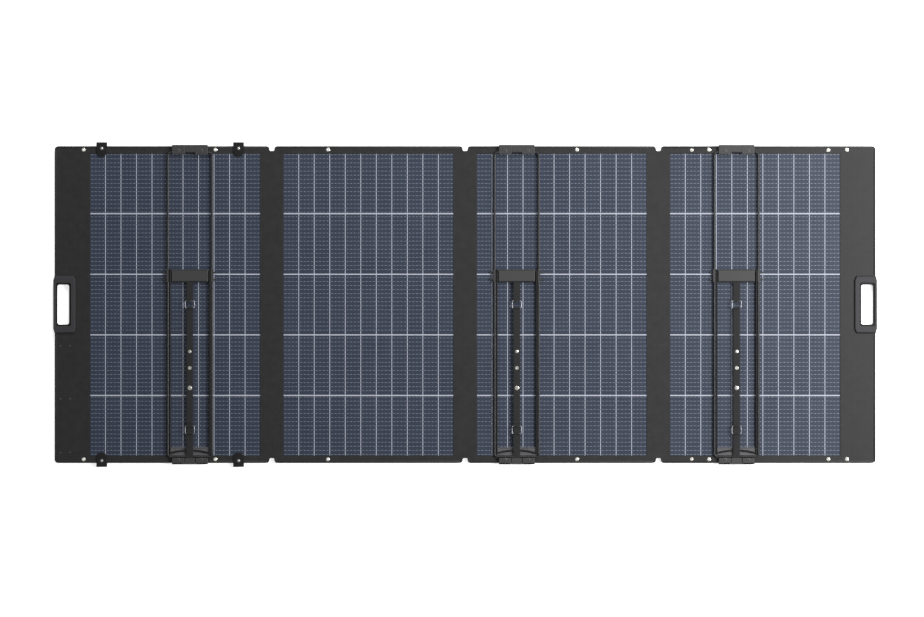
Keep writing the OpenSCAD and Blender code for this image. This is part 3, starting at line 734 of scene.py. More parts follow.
@dataclass
class Leaf:
    """One leaf: two covers with hems and seams, clear sheets, cells, their wires and the white grid."""

    number: int
    levels: Levels
    # a hem: its far edge in from the cover's, its near edge, how it stands proud and how it sinks in
    hem_w: float = 7.0
    hem_in: float = 0.2
    hem_t: float = 0.35
    hem_sink: float = 0.3
    # no hem on the slanted corners beside the handles, nor on the handle's own width
    corner: float = 11.0
    handle_half: float = 90.5
    stitch_in: float = 1.6
    # the cut edge of the window, its seam outside that, and how far short the side seams stop
    window_at: float = 4.5
    seam_out: float = 2.2
    seam_short: float = 4.0
    # the binding on the window's edge
    window_in: float = 4.3
    window_w: float = 1.6
    window_t: float = 0.9
    # the cells: how many across and up, their size, the gaps, and the ribbon past the outer ones
    columns: int = 11
    rows: int = 5
    cell_w: float = 45.5
    column_gap: float = 1.75
    cell_l: float = 182.0
    row_gap: float = 2.5
    lap: float = 5.5
    tape_w: float = 3.4
    tape_lift: float = 0.12
    # the wires are 0.35 mm across; they are drawn this wide so that they show
    wire_w: float = 1.0
    wire_lift: float = 0.08
    # the wires of the end rows and of the middle rows: how many, the first one's place, their pitch
    end_wires: tuple[int, float, float] = (15, 3.4, 12.5)
    middle_wires: tuple[int, float, float] = (14, 13.2, 12.35)
    pads_a_cell: int = 4
    pad_pitch: float = 11.2
    pad_l: float = 3.2
    pad_w: float = 1.5
    pad_lift: float = 0.04
    # how far wires, tapes and pads sink into the cells
    sink: float = 0.1
    film_gap: float = 0.2

    def build(self) -> None:
        """Builds every piece of the leaf."""
        k = self.number
        self.body = f"panel_{k}"
        for face in ("front", "rear"):
            self.cover(face)
        self.hems()
        self.wires()
        self.sheets()
        dress(f"cell_strings_{k}", CELL)
        dress(f"white_grid_{k}", GRID)

    def cover(self, face: str) -> None:
        """A cloth cover cut like its CAD solid, with softened edges.

        Args:
            face: Which cover, front or rear.
        """
        name = f"{face}_cover_{self.number}"
        made = copy_of(name).piece(f"{face}_cloth_{self.number}", CLOTH, "cover_fabric", self.body, name)
        soft = made.modifiers.new("soft_edges", "BEVEL")
        soft.width = 0.25 * MM
        soft.segments = 2
        soft.limit_method = "ANGLE"
        soft.angle_limit = math.radians(50)

    def hems(self) -> None:
        """Bound edges and the rows of stitches along them and round the window."""
        k = self.number
        lv = self.levels
        cover = box_mm(f"rear_cover_{k}")
        x0, x1 = cover[0].x, cover[1].x
        left = x0 + (self.corner if k == 1 else 0)
        right = x1 - (self.corner if k == 4 else 0)
        low, high = box_mm(f"clear_sheets_{k}")
        wx0, wy0 = low.x + self.window_in, low.y + self.window_in
        wx1, wy1 = high.x - self.window_in, high.y - self.window_in
        w = self.window_w
        hem = Shape()
        seam = Shape()
        for z, side in ((lv.rear, 1), (lv.front, -1)):
            over, under = z + side * self.hem_t, z - side * self.hem_sink
            ends = (low.x + self.window_at - self.seam_out, high.x - self.window_at + self.seam_out)
            for s in ENDS:
                hem.slab((left, s * (lv.half_l - self.hem_in), under),
                         (right, s * (lv.half_l - self.hem_w), over), SOFT)
                y = s * (lv.half_l - self.hem_w + self.stitch_in)
                seam.seam((left, y), (right, y), over, side=side)
                y = s * (high.y - self.window_at + self.seam_out)
                seam.seam((ends[0], y), (ends[1], y), z, side=side)
            for x in ends:
                seam.seam((x, low.y + self.seam_short), (x, high.y - self.seam_short), z, side=side)
            for a, b in (((wx0, wy0), (wx1, wy0 + w)), ((wx0, wy1 - w), (wx1, wy1)),
                         ((wx0, wy0), (wx0 + w, wy1)), ((wx1 - w, wy0), (wx1, wy1))):
                hem.slab((*a, z), (*b, z - side * self.window_t), SOFT)
            if k not in GRIPPED:
                continue
            outer, inward = (x0, 1) if k == 1 else (x1, -1)
            for s in ENDS:
                y0, y1 = sorted((s * self.handle_half, s * (lv.half_l - self.corner)))
                hem.slab((outer + inward * self.hem_in, y0, under),
                         (outer + inward * self.hem_w, y1, over), SOFT)
                x = outer + inward * (self.hem_w - self.stitch_in)
                seam.seam((x, y0), (x, y1), over, side=side)
        hem.piece(f"edge_binding_{k}", BINDING, "cover_fabric", self.body)
        seam.piece(f"cover_stitching_{k}", THREAD, "cover_fabric", self.body)

    def sheets(self) -> None:
        """The clear sheets as two thin films, each just clear of the cells."""
        node = f"clear_sheets_{self.number}"
        low, high = box_mm(node)
        under, over = box_mm(f"cell_strings_{self.number}")
        shape = Shape()
        for z0, z1 in ((low.z, under.z - self.film_gap), (over.z + self.film_gap, high.z)):
            shape.slab((low.x, low.y, z0), (high.x, high.y, z1))
        shape.piece(f"clear_film_{self.number}", FILM, "clear_film", self.body, node)

    def wires(self) -> None:
        """Tinned wires across the cells with their solder pads, and tapes over the gaps, on both faces."""
        k = self.number
        low, high = box_mm(f"cell_strings_{k}")
        x0, x1 = low.x + self.lap, high.x - self.lap
        faces = ((high.z, 1), (low.z, -1))
        lines = []
        for j in range(self.rows):
            count, first, pitch = self.end_wires if j in (0, self.rows - 1) else self.middle_wires
            lines += [low.y + j * (self.cell_l + self.row_gap) + first + i * pitch for i in range(count)]
        half = self.wire_w / 2
        shape = Shape()
        for z, side in faces:
            for y in lines:
                shape.slab((x0, y - half, z - side * self.sink), (x1, y + half, z + side * self.wire_lift))
        half = self.tape_w / 2
        tapes = Shape()
        for j in range(1, self.rows):
            y = low.y + j * (self.cell_l + self.row_gap) - self.row_gap / 2
            for z, side in faces:
                tapes.slab((x0, y - half, z - side * self.sink), (x1, y + half, z + side * self.tape_lift))
        pad = Shape().slab((-self.pad_l / 2, -self.pad_w / 2, -self.sink),
                           (self.pad_l / 2, self.pad_w / 2, self.wire_lift + self.pad_lift))
        start = (self.cell_w - (self.pads_a_cell - 1) * self.pad_pitch) / 2
        spots = [(x0 + c * (self.cell_w + self.column_gap) + start + p * self.pad_pitch, y, high.z)
                 for y in lines for c in range(self.columns) for p in range(self.pads_a_cell)]
        pads = Shape().stamp(pad, [Matrix.Translation(spot) for spot in spots])
        for name, form, finish, slot in ((f"cell_wires_{k}", shape, TINNED, "solar_cell"),
                                         (f"solder_pads_{k}", pads, SOLDER, "solar_cell"),
                                         (f"gap_tapes_{k}", tapes, RIBBON, "grid_film")):
            form.piece(name, finish, slot, self.body)


@dataclass
class FoldStrip:
    """The flexible cloth between two leaves, which bends round its fold."""

    number: int
    step: float = 1.0

    def build(self) -> None:
        """Builds the strip, cut across in even steps, on no body of its own."""
        k = self.number
        node = f"fold_strip_{k}"
        low, high = box_mm(node)
        first, last, z = low.x + self.step, high.x - self.step, (low.z + high.z) / 2
        made = copy_of(node).cut(0, first, last, self.step).piece(f"fold_cloth_{k}", CLOTH, "cover_fabric")
        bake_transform(made)
        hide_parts(node)


# ---- handles ----


@dataclass
class Handle:
    """A grip handle of two moulded shells, with a recessed rim round its opening."""

    leaf: int
    levels: Levels
    edge: float = 1.6
    soft: float = 0.3
    # the slanted corners, and the slope of both ends
    cut_l: float = 15.0
    cut_w: float = 5.0
    shoulder: float = 4.5
    # the opening: its middle in from the leaf's edge, its half width and length, its slanted corners
    grip_in: float = 26.0
    grip_half_w: float = 18.0
    grip_half_l: float = 60.75
    grip_corner: float = 4.0
    # the recess round the opening: its width, its depth, and the ledge's lap and edge
    rim: float = 5.0
    recess: float = 3.2
    ledge_lap: float = 0.4
    ledge_edge: float = 0.5
    # the collar through the leaf, and the lip past its edge
    collar: float = 2.0
    lip: tuple[float, float] = (0.3, 4.0)
    lip_end: float = 0.8
    # how far collar and lip run into the shell
    bury: float = 1.0

    @property
    def side(self) -> int:
        """The way out of the panel along X."""
        return -1 if self.leaf == 1 else 1

    def outline(self, low: Vector, high: Vector) -> list[tuple[float, float]]:
        """Eight points round the handle, counted from its outer lower corner.

        Args:
            low: Lowest corner of the shell's box.
            high: Highest corner of that box.

        Returns:
            The points, as X and Y.
        """
        side = self.side
        outer, inner = (low.x, high.x) if side < 0 else (high.x, low.x)
        y, yi = high.y, high.y - self.cut_l
        corner, edge = side * self.cut_w, side * self.levels.half_w
        return [(edge, -y), (outer, -yi), (outer, yi), (edge, y), (inner + corner, y), (inner, yi),
                (inner, -yi), (inner + corner, -y)]

    def opening(self, grow: float = 0.0) -> list[tuple[float, float]]:
        """Eight points round the grip opening, matched to the outline.

        Args:
            grow: How far outside the opening they lie.

        Returns:
            The points, as X and Y.
        """
        s = self.side
        centre = s * (self.levels.half_w - self.grip_in)
        a, b, c = self.grip_half_w + grow, self.grip_half_l + grow, self.grip_corner
        xo, xi = centre + s * a, centre - s * a
        return [(xo - s * c, -b), (xo, -b + c), (xo, b - c), (xo - s * c, b), (xi + s * c, b), (xi, b - c),
                (xi, -b + c), (xi + s * c, -b)]

    def build(self) -> None:
        """Builds the rear shell, the ledge sunk in it, coloured near-black as painted shade, and the front
        shell.
        """
        k = self.leaf
        lv = self.levels
        body = f"panel_{k}"
        low, high = box_mm(f"handle_rear_{k}")
        a, b = (self.side * (lv.half_w + out) for out in self.lip)
        y, yi = high.y - self.lip_end, high.y - self.cut_l
        lip = [(a, -y), (b, -yi), (b, yi), (a, y)]
        rear = Shape()
        rear.prism(self.outline(low, high), lv.rear, high.z, self.opening(self.rim), self.edge, self.shoulder)
        rear.prism(self.opening(self.collar), low.z, lv.rear + self.bury, self.opening(), self.soft)
        rear.prism(lip, low.z, lv.rear + self.bury, None, self.soft)
        rear.piece(f"grip_shell_rear_{k}", HANDLE, "handle_plastic", body, f"handle_rear_{k}", even=True)
        # the ledge deep in the recess is coloured near-black as painted shade
        ledge = Shape().prism(self.opening(self.rim + self.ledge_lap), lv.rear, high.z - self.recess,
                              self.opening(), self.ledge_edge)
        ledge.piece(f"shaded_grip_ledge_{k}", RECESS_SHADE, "handle_plastic", body, even=True)
        low, high = box_mm(f"handle_front_{k}")
        front = Shape()
        front.prism(self.outline(low, high), 0.0, lv.front, self.opening(), self.edge)
        front.prism(self.opening(self.collar), lv.front - self.bury, high.z, self.opening(), self.soft)
        front.prism(lip, lv.front - self.bury, high.z, None, self.soft)
        front.piece(f"grip_shell_front_{k}", HANDLE, "handle_plastic", body, f"handle_front_{k}", even=True)


# ---- metal ----


class Metal:
    """Turned and pressed fastener shapes, each made once and stamped where it is needed."""

    @staticmethod
    def eyelet(front: float, rear: float, r: float = 3.25) -> Shape:
        """An eyelet with a bore and a rolled flange on each side."""
        profile = [(r, front - 0.3), (r + 0.5, front - 0.9), (4.9, front - 0.85), (5.9, front - 0.4),
                   (6.0, front - 0.05), (3.84, front), (3.84, rear), (6.0, rear + 0.05), (5.9, rear + 0.4),
                   (4.9, rear + 0.85), (r + 0.5, rear + 0.9), (r, rear + 0.3)]
        return Shape().lathe(profile, 32, closed=True)

    @staticmethod
    def screw(z: float, r: float = 5.0) -> Shape:
        """A washer-head screw with a round socket."""
        profile = [(0, z + 0.15), (1.4, z + 0.15), (1.6, z + 0.75), (2.8, z + 0.95), (3.2, z + 0.7),
                   (3.3, z + 0.5), (r - 0.4, z + 0.42), (r, z + 0.2), (r, z - 0.3), (0, z - 0.3)]
        return Shape().lathe(profile, 28)

    @staticmethod
    def rivet(z: float) -> Shape:
        """The flat end of a screw on the front side, below height z."""
        return Shape().lathe([(0, z), (3.2, z), (3.5, z - 0.3), (3.0, z - 0.8), (0, z - 0.8)], 20)

    @staticmethod
    def stud(z: float) -> Shape:
        """A snap stud: a rolled ring round a waisted post."""
        profile = [(0, z + 1.6), (1.6, z + 1.55), (2.1, z + 1.2), (1.7, z + 0.7), (1.9, z + 0.3),
                   (4.2, z + 0.25), (4.7, z + 0.75), (5.4, z + 0.8), (5.9, z + 0.4), (6.0, z), (0, z)]
        return Shape().lathe(profile, 32)

    @staticmethod
    def dome(z: float, r: float, h: float) -> Shape:
        """A domed snap cap with a rolled rim."""
        profile = [(0, z + h), (0.45 * r, z + 0.94 * h), (0.75 * r, z + 0.72 * h), (0.88 * r, z + 0.45 * h),
                   (0.97 * r, z + 0.42 * h), (r, z + 0.2 * h), (0.96 * r, z), (0, z)]
        return Shape().lathe(profile, 32)

    @staticmethod
    def socket(z: float, r: float, h: float) -> Shape:
        """A snap socket: a ring with a sunk centre."""
        profile = [(0, z + 0.25 * h), (0.42 * r, z + 0.25 * h), (0.5 * r, z + 0.9 * h), (0.7 * r, z + h),
                   (0.93 * r, z + 0.8 * h), (r, z + 0.3 * h), (0.97 * r, z), (0, z)]
        return Shape().lathe(profile, 32)


@dataclass
class Fasteners:
    """The eyelets, screws and studs of one leaf."""

    leaf: int
    levels: Levels
    eyelets: tuple[float, ...]
    screws_at: float | None = None
    studs: tuple[float, ...] = ()
    eyelet_y: float = 471.4
    stud_y: float = 470.5
    # the bracket screws: to each side of the stand's middle, and in from the top and the bottom edge
    screw_x: float = 35.0
    screw_top: float = 13.7
    screw_bottom: float = 11.0
    screw_sink: float = 0.15

    def build(self) -> None:
        """Stamps each fastener at its place."""
        k = self.leaf
        lv = self.levels
        bright = Shape()
        for form, places, y in ((Metal.eyelet(lv.front, lv.rear), self.eyelets, self.eyelet_y),
                                (Metal.stud(lv.rear), self.studs, self.stud_y)):
            for x in places:
                for s in ENDS:
                    bright.add(form, Matrix.Translation((x, s * y, 0)))
        bright.piece(f"eyelets_{k}", NICKEL, "nickel", f"panel_{k}", f"fasteners_{k}")
        if self.screws_at is None:
            return
        low, high = box_mm(f"brackets_{k}")
        dark = Shape()
        for s in ENDS:
            for y in (lv.half_l - self.screw_top, -lv.half_l + self.screw_bottom):
                place = Matrix.Translation((self.screws_at + s * self.screw_x, y, 0))
                dark.add(Metal.screw(high.z - self.screw_sink), place)
                dark.add(Metal.rivet(low.z), place)
        dark.piece(f"bracket_screws_{k}", DARK_STEEL, "nickel", f"panel_{k}")


# ---- closure tabs ----


@dataclass
class ClosureTab:
    """One webbing tab: a flap with a half-round end, its cloth loop, stitches and snap cap."""

    number: int
    levels: Levels
    # how far the tab reaches past the leaf's edge and in from it
    reach: float = 13.0
    inside: float = 32.0
    thick: float = 1.2
    soft: float = 0.3
    # the flap stops this far short of the reach, and the loop begins a little further in
    flap_short: float = 1.5
    loop_short: float = 1.7
    loop_flat: float = 0.6
    loop_t: float = 1.1
    loop_steps: int = 10
    arc_steps: int = 20
    cut_step: float = 3.0
    cap_in: float = 7.0
    ring: tuple[float, float] = (5.6, 0.5)
    cap: tuple[float, float] = (3.6, 0.95)
    cap_lift: float = 0.1
    stitch_in: float = 2.4
    seam_short: float = 3.0
    seam_across: float = 4.0

    def build(self) -> None:
        """Builds the flap, its loop and its cap."""
        n = self.number
        lv = self.levels
        body = f"flap_{n}"
        low, high = box_mm(f"closure_tab_{n}")
        s = 1 if high.y > 0 else -1
        x, r = (low.x + high.x) / 2, (high.x - low.x) / 2
        out, inner = lv.half_l + self.reach, lv.half_l - self.inside
        z0, z1 = low.z, low.z + self.thick
        turn = Matrix.Translation((x, 0, 0)) @ Matrix.Rotation(0 if s > 0 else math.pi, 4, "Z")
        arc = [(r * math.cos(a), inner + r - r * math.sin(a))
               for a in (math.pi * i / self.arc_steps for i in range(self.arc_steps + 1))]
        outline = [(r, out - self.flap_short)] + arc + [(-r, out - self.flap_short)]
        flap = Shape().prism(outline, z0, z1, None, self.soft)
        flap = Shape().add(flap, turn).cut(1, *sorted((s * inner, s * out)), self.cut_step)
        flap.piece(f"tab_flap_{n}", TAB_TAPE, "webbing", body, f"closure_tab_{n}")
        spot = turn @ Matrix.Translation((0, lv.half_l - self.cap_in, 0))
        ring = Shape().add(Metal.socket(z1, *self.ring), spot)
        ring.piece(f"tab_ring_{n}", DARK_STEEL, "nickel", body)
        cap = Shape().add(Metal.dome(z1 + self.cap_lift, *self.cap), spot)
        cap.piece(f"tab_cap_{n}", NICKEL, "nickel", body)
        rows = Shape()
        a = r - self.stitch_in
        for dx in (-a, a):
            rows.seam((dx, inner + r), (dx, out - self.seam_short), z1, STITCH)
        rows.seam((-a, out - self.seam_across), (a, out - self.seam_across), z1, STITCH)
        Shape().add(rows, turn).piece(f"tab_stitching_{n}", THREAD, "webbing", body)
        made = Shape().add(self.loop(r, out, z1), turn).piece(f"tab_loop_{n}", TAB_TAPE, "webbing")
        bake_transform(made)

    def loop(self, r: float, out: float, top: float) -> Shape:
        """The cloth that turns over the hinge line, from the base up into the flap.

        Args:
            r: Half the tab's width.
            out: How far out the tab reaches along Y.
            top: Height of the flap's upper face.

        Returns:
            The loop, for a tab on the far edge.
        """
        middle, swing = (self.levels.rear + top) / 2, (top - self.levels.rear) / 2
        hollow, near = swing - self.loop_t, out - self.loop_short
        angles = [math.pi * (i / self.loop_steps - 0.5) for i in range(self.loop_steps + 1)]
        outer = [(-r, near + (swing - self.loop_flat) * math.cos(a), middle + swing * math.sin(a))
                 for a in angles]
        inner = [(-r, near + max(0.0, hollow) * math.cos(a), middle + hollow * math.sin(a))
                 for a in reversed(angles)]
        bend = Shape()
        face = bend.bm.faces.new([bend.bm.verts.new(p) for p in outer + inner])
        grown = bmesh.ops.extrude_face_region(bend.bm, geom=[face])["geom"]
        bmesh.ops.translate(bend.bm, vec=(2 * r, 0, 0), verts=corners_of(grown))
        bmesh.ops.recalc_face_normals(bend.bm, faces=bend.bm.faces)
        return bend


@dataclass
class TabBases:
    """The webbing under each flap, sewn to the rear cover."""

    levels: Levels
    inside: float = 12.0
    outside: float = 11.3
    thick: float = 1.2
    rib: float = 1.6
    seams_in: tuple[float, float] = (9.0, 3.0)
    seam_end: float = 2.0
    seam_sink: float = 1.1

    def build(self) -> None:
        """Builds all four bases as ribbed tape with two seams each."""
        lv = self.levels
        tape = Shape()
        rows = Shape()
        for n in TABS:
            low, high = box_mm(f"closure_tab_{n}")
            s = 1 if high.y > 0 else -1
            y0, y1 = sorted((s * (lv.half_l - self.inside), s * (lv.half_l + self.outside)))
            tape.tape((low.x, y0, lv.rear), (high.x, y1, lv.rear + self.thick), self.rib)
            a, b = low.x + self.seam_end, high.x - self.seam_end
            for y in (s * (lv.half_l - off) for off in self.seams_in):
                rows.seam((a, y), (b, y), lv.rear + self.seam_sink, STITCH)
        tape.piece("tab_base_webbing", TAB_TAPE, "webbing", "panel_1", "tab_bases")
        rows.piece("tab_base_stitching", THREAD, "webbing", "panel_1")


# ---- junction box ----


@dataclass
class JunctionBox:
    """The slim box on the sunny side of leaf 1, with its lid, gland and the rivets over box and loops."""

    levels: Levels
    # the lid: how far it stands out from the case, how far in its edge lies, and its thickness
    lid_out: float = 1.4
    lid_in: float = 0.6
    lid_t: float = 2.2
    # the lid's ribs, for grip and for cooling
    ribs: int = 9
    rib_end: float = 22.0
    rib_in: float = 8.0
    rib_half: float = 1.2
    rib_t: float = 1.0
    gland_l: float = 7.0
    gland_bury: float = 0.3
    gland_z: float = 3.75
    screw_x: float = 5.0
    screw_y: float = 6.0
    screw_sink: float = 0.7
    screw_r: float = 2.9
    # the rivets: in from the box's end, along the loops, in from the leaf's edge, and half a pair's width
    rivet_end: float = 25.0
    loops_y: tuple[float, float] = (-287.2, -451.1)
    rivet_in: float = 32.0
    rivet_half: float = 14.5

    def build(self) -> None:
        """Builds the box, its screws, its gland and the rivets."""
        low, high = box_mm("junction_box")
        lv = self.levels
        y0 = low.y + self.gland_l
        case = Shape().slab((low.x, y0, low.z + self.lid_out), (high.x, high.y, lv.front), 1.2, 3)
        case.slab((low.x + self.lid_in, y0 + self.lid_in, low.z),
                  (high.x - self.lid_in, high.y - self.lid_in, low.z + self.lid_t), 0.8, 3)
        for i in range(self.ribs):
            y = y0 + self.rib_end + i * (high.y - y0 - 2 * self.rib_end) / (self.ribs - 1)
            case.slab((low.x + self.rib_in, y - self.rib_half, low.z),
                      (high.x - self.rib_in, y + self.rib_half, low.z + self.rib_t), 0.4, 2)
        case.piece("junction_case", CASE, "box_plastic", "panel_1", "junction_box", even=True)
        profile = [(2.0, 0), (3.7, 0), (3.7, 2.6), (3.3, 3.0), (3.3, 6.6), (2.9, self.gland_l),
                   (2.0, self.gland_l)]
        place = Matrix.Translation(((low.x + high.x) / 2, y0 + self.gland_bury, low.z + self.gland_z))
        turn = place @ Matrix.Rotation(math.pi / 2, 4, "X")
        gland = Shape().add(Shape().lathe(profile, 24, True), turn)
        gland.piece("cable_gland", CASE, "box_plastic", "panel_1")
        screws = Shape()
        for x in (low.x + self.screw_x, high.x - self.screw_x):
            for y in (y0 + self.screw_y, high.y - self.screw_y):
                flip = Matrix.Translation((x, y, low.z + self.screw_sink)) @ Matrix.Rotation(math.pi, 4, "X")
                screws.add(Metal.screw(0.0, self.screw_r), flip @ Matrix.Diagonal((0.8, 0.8, 0.6, 1)))
        screws.piece("lid_screws", DARK_STEEL, "nickel", "panel_1")
        heads = Shape()
        for y in (high.y - self.rivet_end, *self.loops_y):
            for s in ENDS:
                x = -lv.half_w + self.rivet_in + s * self.rivet_half
                heads.add(Metal.dome(lv.rear, 2.4, 0.6), Matrix.Translation((x, y, 0)))
        heads.piece("loop_rivets", DARK_STEEL, "nickel", "panel_1")
        dress("junction_board", BOARD)
        dress("cable_loops", WEBBING)


# ---- prop stands ----


@dataclass
class PropStand:
    """One stand: brackets, two wire frames, cross plate, foot plate, strap, rings and snaps."""

    leaf: int
    levels: Levels
    # the top bracket: half its middle part, how far in it reaches, and the room round the wire
    knuckle: float = 15.2
    top_in: float = 24.7
    top_mid_in: float = 18.4
    room_z: float = 3.2
    room_y: float = 3.3
    # the bottom bracket: half its groove between the ends, half its middle part, and the room
    low_end: float = 17.4
    low_mid: float = 16.0
    low_room: float = 3.4
    edge_gap: float = 0.2
    # half widths on the cross plate: its raised part, its face, its ears and the hooks past them
    plate_half: float = 55.5
    border_half: float = 53.5
    ear_in: float = 64.4
    ear_wall: float = 70.1
    ear_half: float = 71.5
    hook_in: float = 71.0
    hook_half: float = 80.5
    hook_tip: tuple[float, float] = (78.5, 80.9)
    hook_w: float = 4.0
    pocket: tuple[float, float] = (55.6, 64.2)
    pivot_x: float = 60.0
    pivot_y: float = 3.2
    # half widths on the foot plate, and its two raised pads
    foot_half: float = 60.4
    roll_half: float = 54.0
    pad_x: float = 38.0
    pad_half: float = 5.0
    # the strap: places of the rings, half a ring's length, half widths, and the snaps from the top down
    rings: tuple[float, float] = (0.5, -381.5)
    ring_half: float = 11.0
    ring_w: float = 14.0
    ring_corner: float = 2.5
    ring_wire: float = 1.2
    tape_half: float = 10.0
    fold_half: float = 9.8
    tape_rib: float = 2.0
    tape_gap: float = 8.5
    snaps: tuple[float, float, float] = (-143.0, -193.0, -254.0)
    seams_off: tuple[float, float] = (16.0, 19.0)
    seam_half: float = 7.5
    seam_pitch: float = 2.5
    blend_in: float = 4.0

    def build(self) -> None:
        """Builds every piece of the stand."""
        k = self.leaf
        low, high = box_mm(f"outer_frame_{k}")
        self.x = (low.x + high.x) / 2
        self.run_y = high.y - 3.0
        self.wire_z = (low.z + high.z) / 2
        dress(f"outer_frame_{k}", WIRE)
        # the inner frame is dressed darker than the outer one, as painted shade
        dress(f"inner_frame_{k}", SHADED_INNER_WIRE)
        self.brackets()
        self.cross_plate()
        self.foot_plate()
        self.strap()

    def brackets(self) -> None:
        """The top bracket with its knuckles and the bottom bracket in three segments."""
        k = self.leaf
        lv = self.levels
        low, high = box_mm(f"brackets_{k}")
        half, top, x = (high.x - low.x) / 2, high.z, self.x
        over, under = self.wire_z + self.room_z, self.wire_z - self.room_z
        outer, inner = self.run_y + self.room_y, self.run_y - self.room_y
        y, mid_y = lv.half_l - self.top_in, lv.half_l - self.top_mid_in
        shape = Shape()
        for s in ENDS:
            a, b = x + s * half, x + s * self.knuckle
            # a knuckle is open below the wire, so it is built in bars round it
            shape.slab((a, y, over), (b, high.y, top), 1.4, 3)
            shape.slab((a, outer, low.z), (b, high.y, top - 1), 1.2, 3)
            shape.slab((a, y, lv.rear), (b, inner, top - 1), 0.8, 3)
            shape.slab((a, y, lv.rear), (b, high.y, under), 0.6, 2)
        a, b = x - self.knuckle, x + self.knuckle
        shape.slab((a, outer, low.z), (b, high.y, top - 1.2), 1.0, 3)
        shape.slab((a, mid_y, over), (b, high.y - 0.6, top - 0.6), 1.0, 3)
        shape.slab((x - half + 1, mid_y, low.z), (x + half - 1, high.y - 1, lv.front), 0.4, 2)
        near, edge = -self.run_y - self.low_room, -lv.half_l - self.edge_gap
        for s in ENDS:
            a, b = x + s * half, x + s * self.low_end
            shape.slab((a, low.y, low.z), (b, edge, top), 1.2, 3)
            shape.slab((a, low.y, lv.rear), (b, near, top), 1.2, 3)
            shape.slab((a - s * 4, low.y + 2, top - 0.6), (b + s * 4, low.y + 4, top), 0.3, 2)
        a, b = x - self.low_mid, x + self.low_mid
        for z0, y1, z1, soft, steps in ((low.z, edge, top - 0.4, 1.0, 3),
                                        (lv.rear, near - 6.2, top - 0.4, 1.0, 3),
                                        (lv.rear, near, lv.rear + 8.7, 1.0, 3),
                                        (lv.rear + 10.3, near - 0.2, top - 0.1, 0.3, 2)):
            shape.slab((a, low.y, z0), (b, y1, z1), soft, steps)
        shape.slab((x - half + 1, low.y + 1, low.z), (x + half - 1, near, lv.front), 0.4, 2)
        shape.piece(f"stand_brackets_{k}", BRACKET, "bracket_plastic", f"panel_{k}", f"brackets_{k}",
                    even=True)

    def cross_plate(self) -> None:
        """The plate across the outer frame, with ears and hooks, and near-black pocket floors and pivot
        bosses as painted shade.
        """
        k = self.leaf
        low, high = box_mm(f"cross_plate_{k}")
        x, z, top = self.x, self.wire_z, high.z
        shape = Shape()
        shape.slab((x - self.plate_half, low.y, low.z), (x + self.plate_half, high.y, top), 1.3, 3)
        shape.slab((x - self.ear_half, low.y + 0.5, low.z),
                   (x + self.ear_half, high.y - 0.5, z - 3.0), 0.5, 2)
        # a low raised border frames the plate's face
        for y in (low.y + 1.2, high.y - 2.8):
            shape.slab((x - self.border_half, y, top - 0.5), (x + self.border_half, y + 1.6, top), 0.2, 2)
        # painted shade: near-black slabs and bosses in the ear pockets stand in for the shade deep in them
        pocket_shade = Shape()
        boss = Shape().lathe([(0, z - 2.6), (3.4, z - 2.6), (3.9, z - 2.9), (3.9, z - 3.4), (0, z - 3.4)], 24)
        for s in ENDS:
            ear = x + s * self.ear_half
            shape.slab((x + s * self.ear_wall, low.y, low.z), (ear, high.y, top), 0.5, 2)
            shape.slab((x + s * self.ear_in, low.y, z + 3.05), (ear, high.y, top), 0.4, 2)
            for y in (high.y - 11.0, low.y + 5.0):
                shape.slab((x + s * self.hook_in, y, low.z),
                           (x + s * self.hook_half, y + self.hook_w, z - 3.0), 0.4, 2)
                a, b = (x + s * tip for tip in self.hook_tip)
                shape.slab((a, y, low.z), (b, y + self.hook_w, z - 0.5), 0.5, 2)
            a, b = (x + s * side for side in self.pocket)
            pocket_shade.slab((a, low.y + 1, z - 3.4), (b, high.y - 4, z - 2.9), 0.2, 2)
            pocket_shade.add(boss, Matrix.Translation((x + s * self.pivot_x, high.y - self.pivot_y, 0)))
        body = f"stand_{k}"
        pocket_shade.piece(f"pivot_pocket_shade_{k}", RECESS_SHADE, "bracket_plastic", body)
        shape.piece(f"stand_plate_{k}", PLATE, "bracket_plastic", body, f"cross_plate_{k}", even=True)

    def foot_plate(self) -> None:
        """The foot plate with rolled long edges and two raised pads."""
        k = self.leaf
        low, high = box_mm(f"foot_plate_{k}")
        x, z = self.x, high.z
        shape = Shape().slab((x - self.foot_half, low.y, low.z), (x + self.foot_half, high.y, z), 0.5, 2)
        for y in (low.y + 0.2, high.y - 2.4):
            shape.slab((x - self.roll_half, y, z - 0.4), (x + self.roll_half, y + 2.2, z + 2.2), 0.8, 3)
        for u in (x - self.pad_x, x + self.pad_x):
            shape.slab((u - self.pad_half, low.y + 9, z - 0.3),
                       (u + self.pad_half, low.y + 20, z + 0.9), 0.5, 2)
        shape.piece(f"stand_foot_{k}", FOOT, "bracket_plastic", f"brace_{k}", f"foot_plate_{k}", even=True)

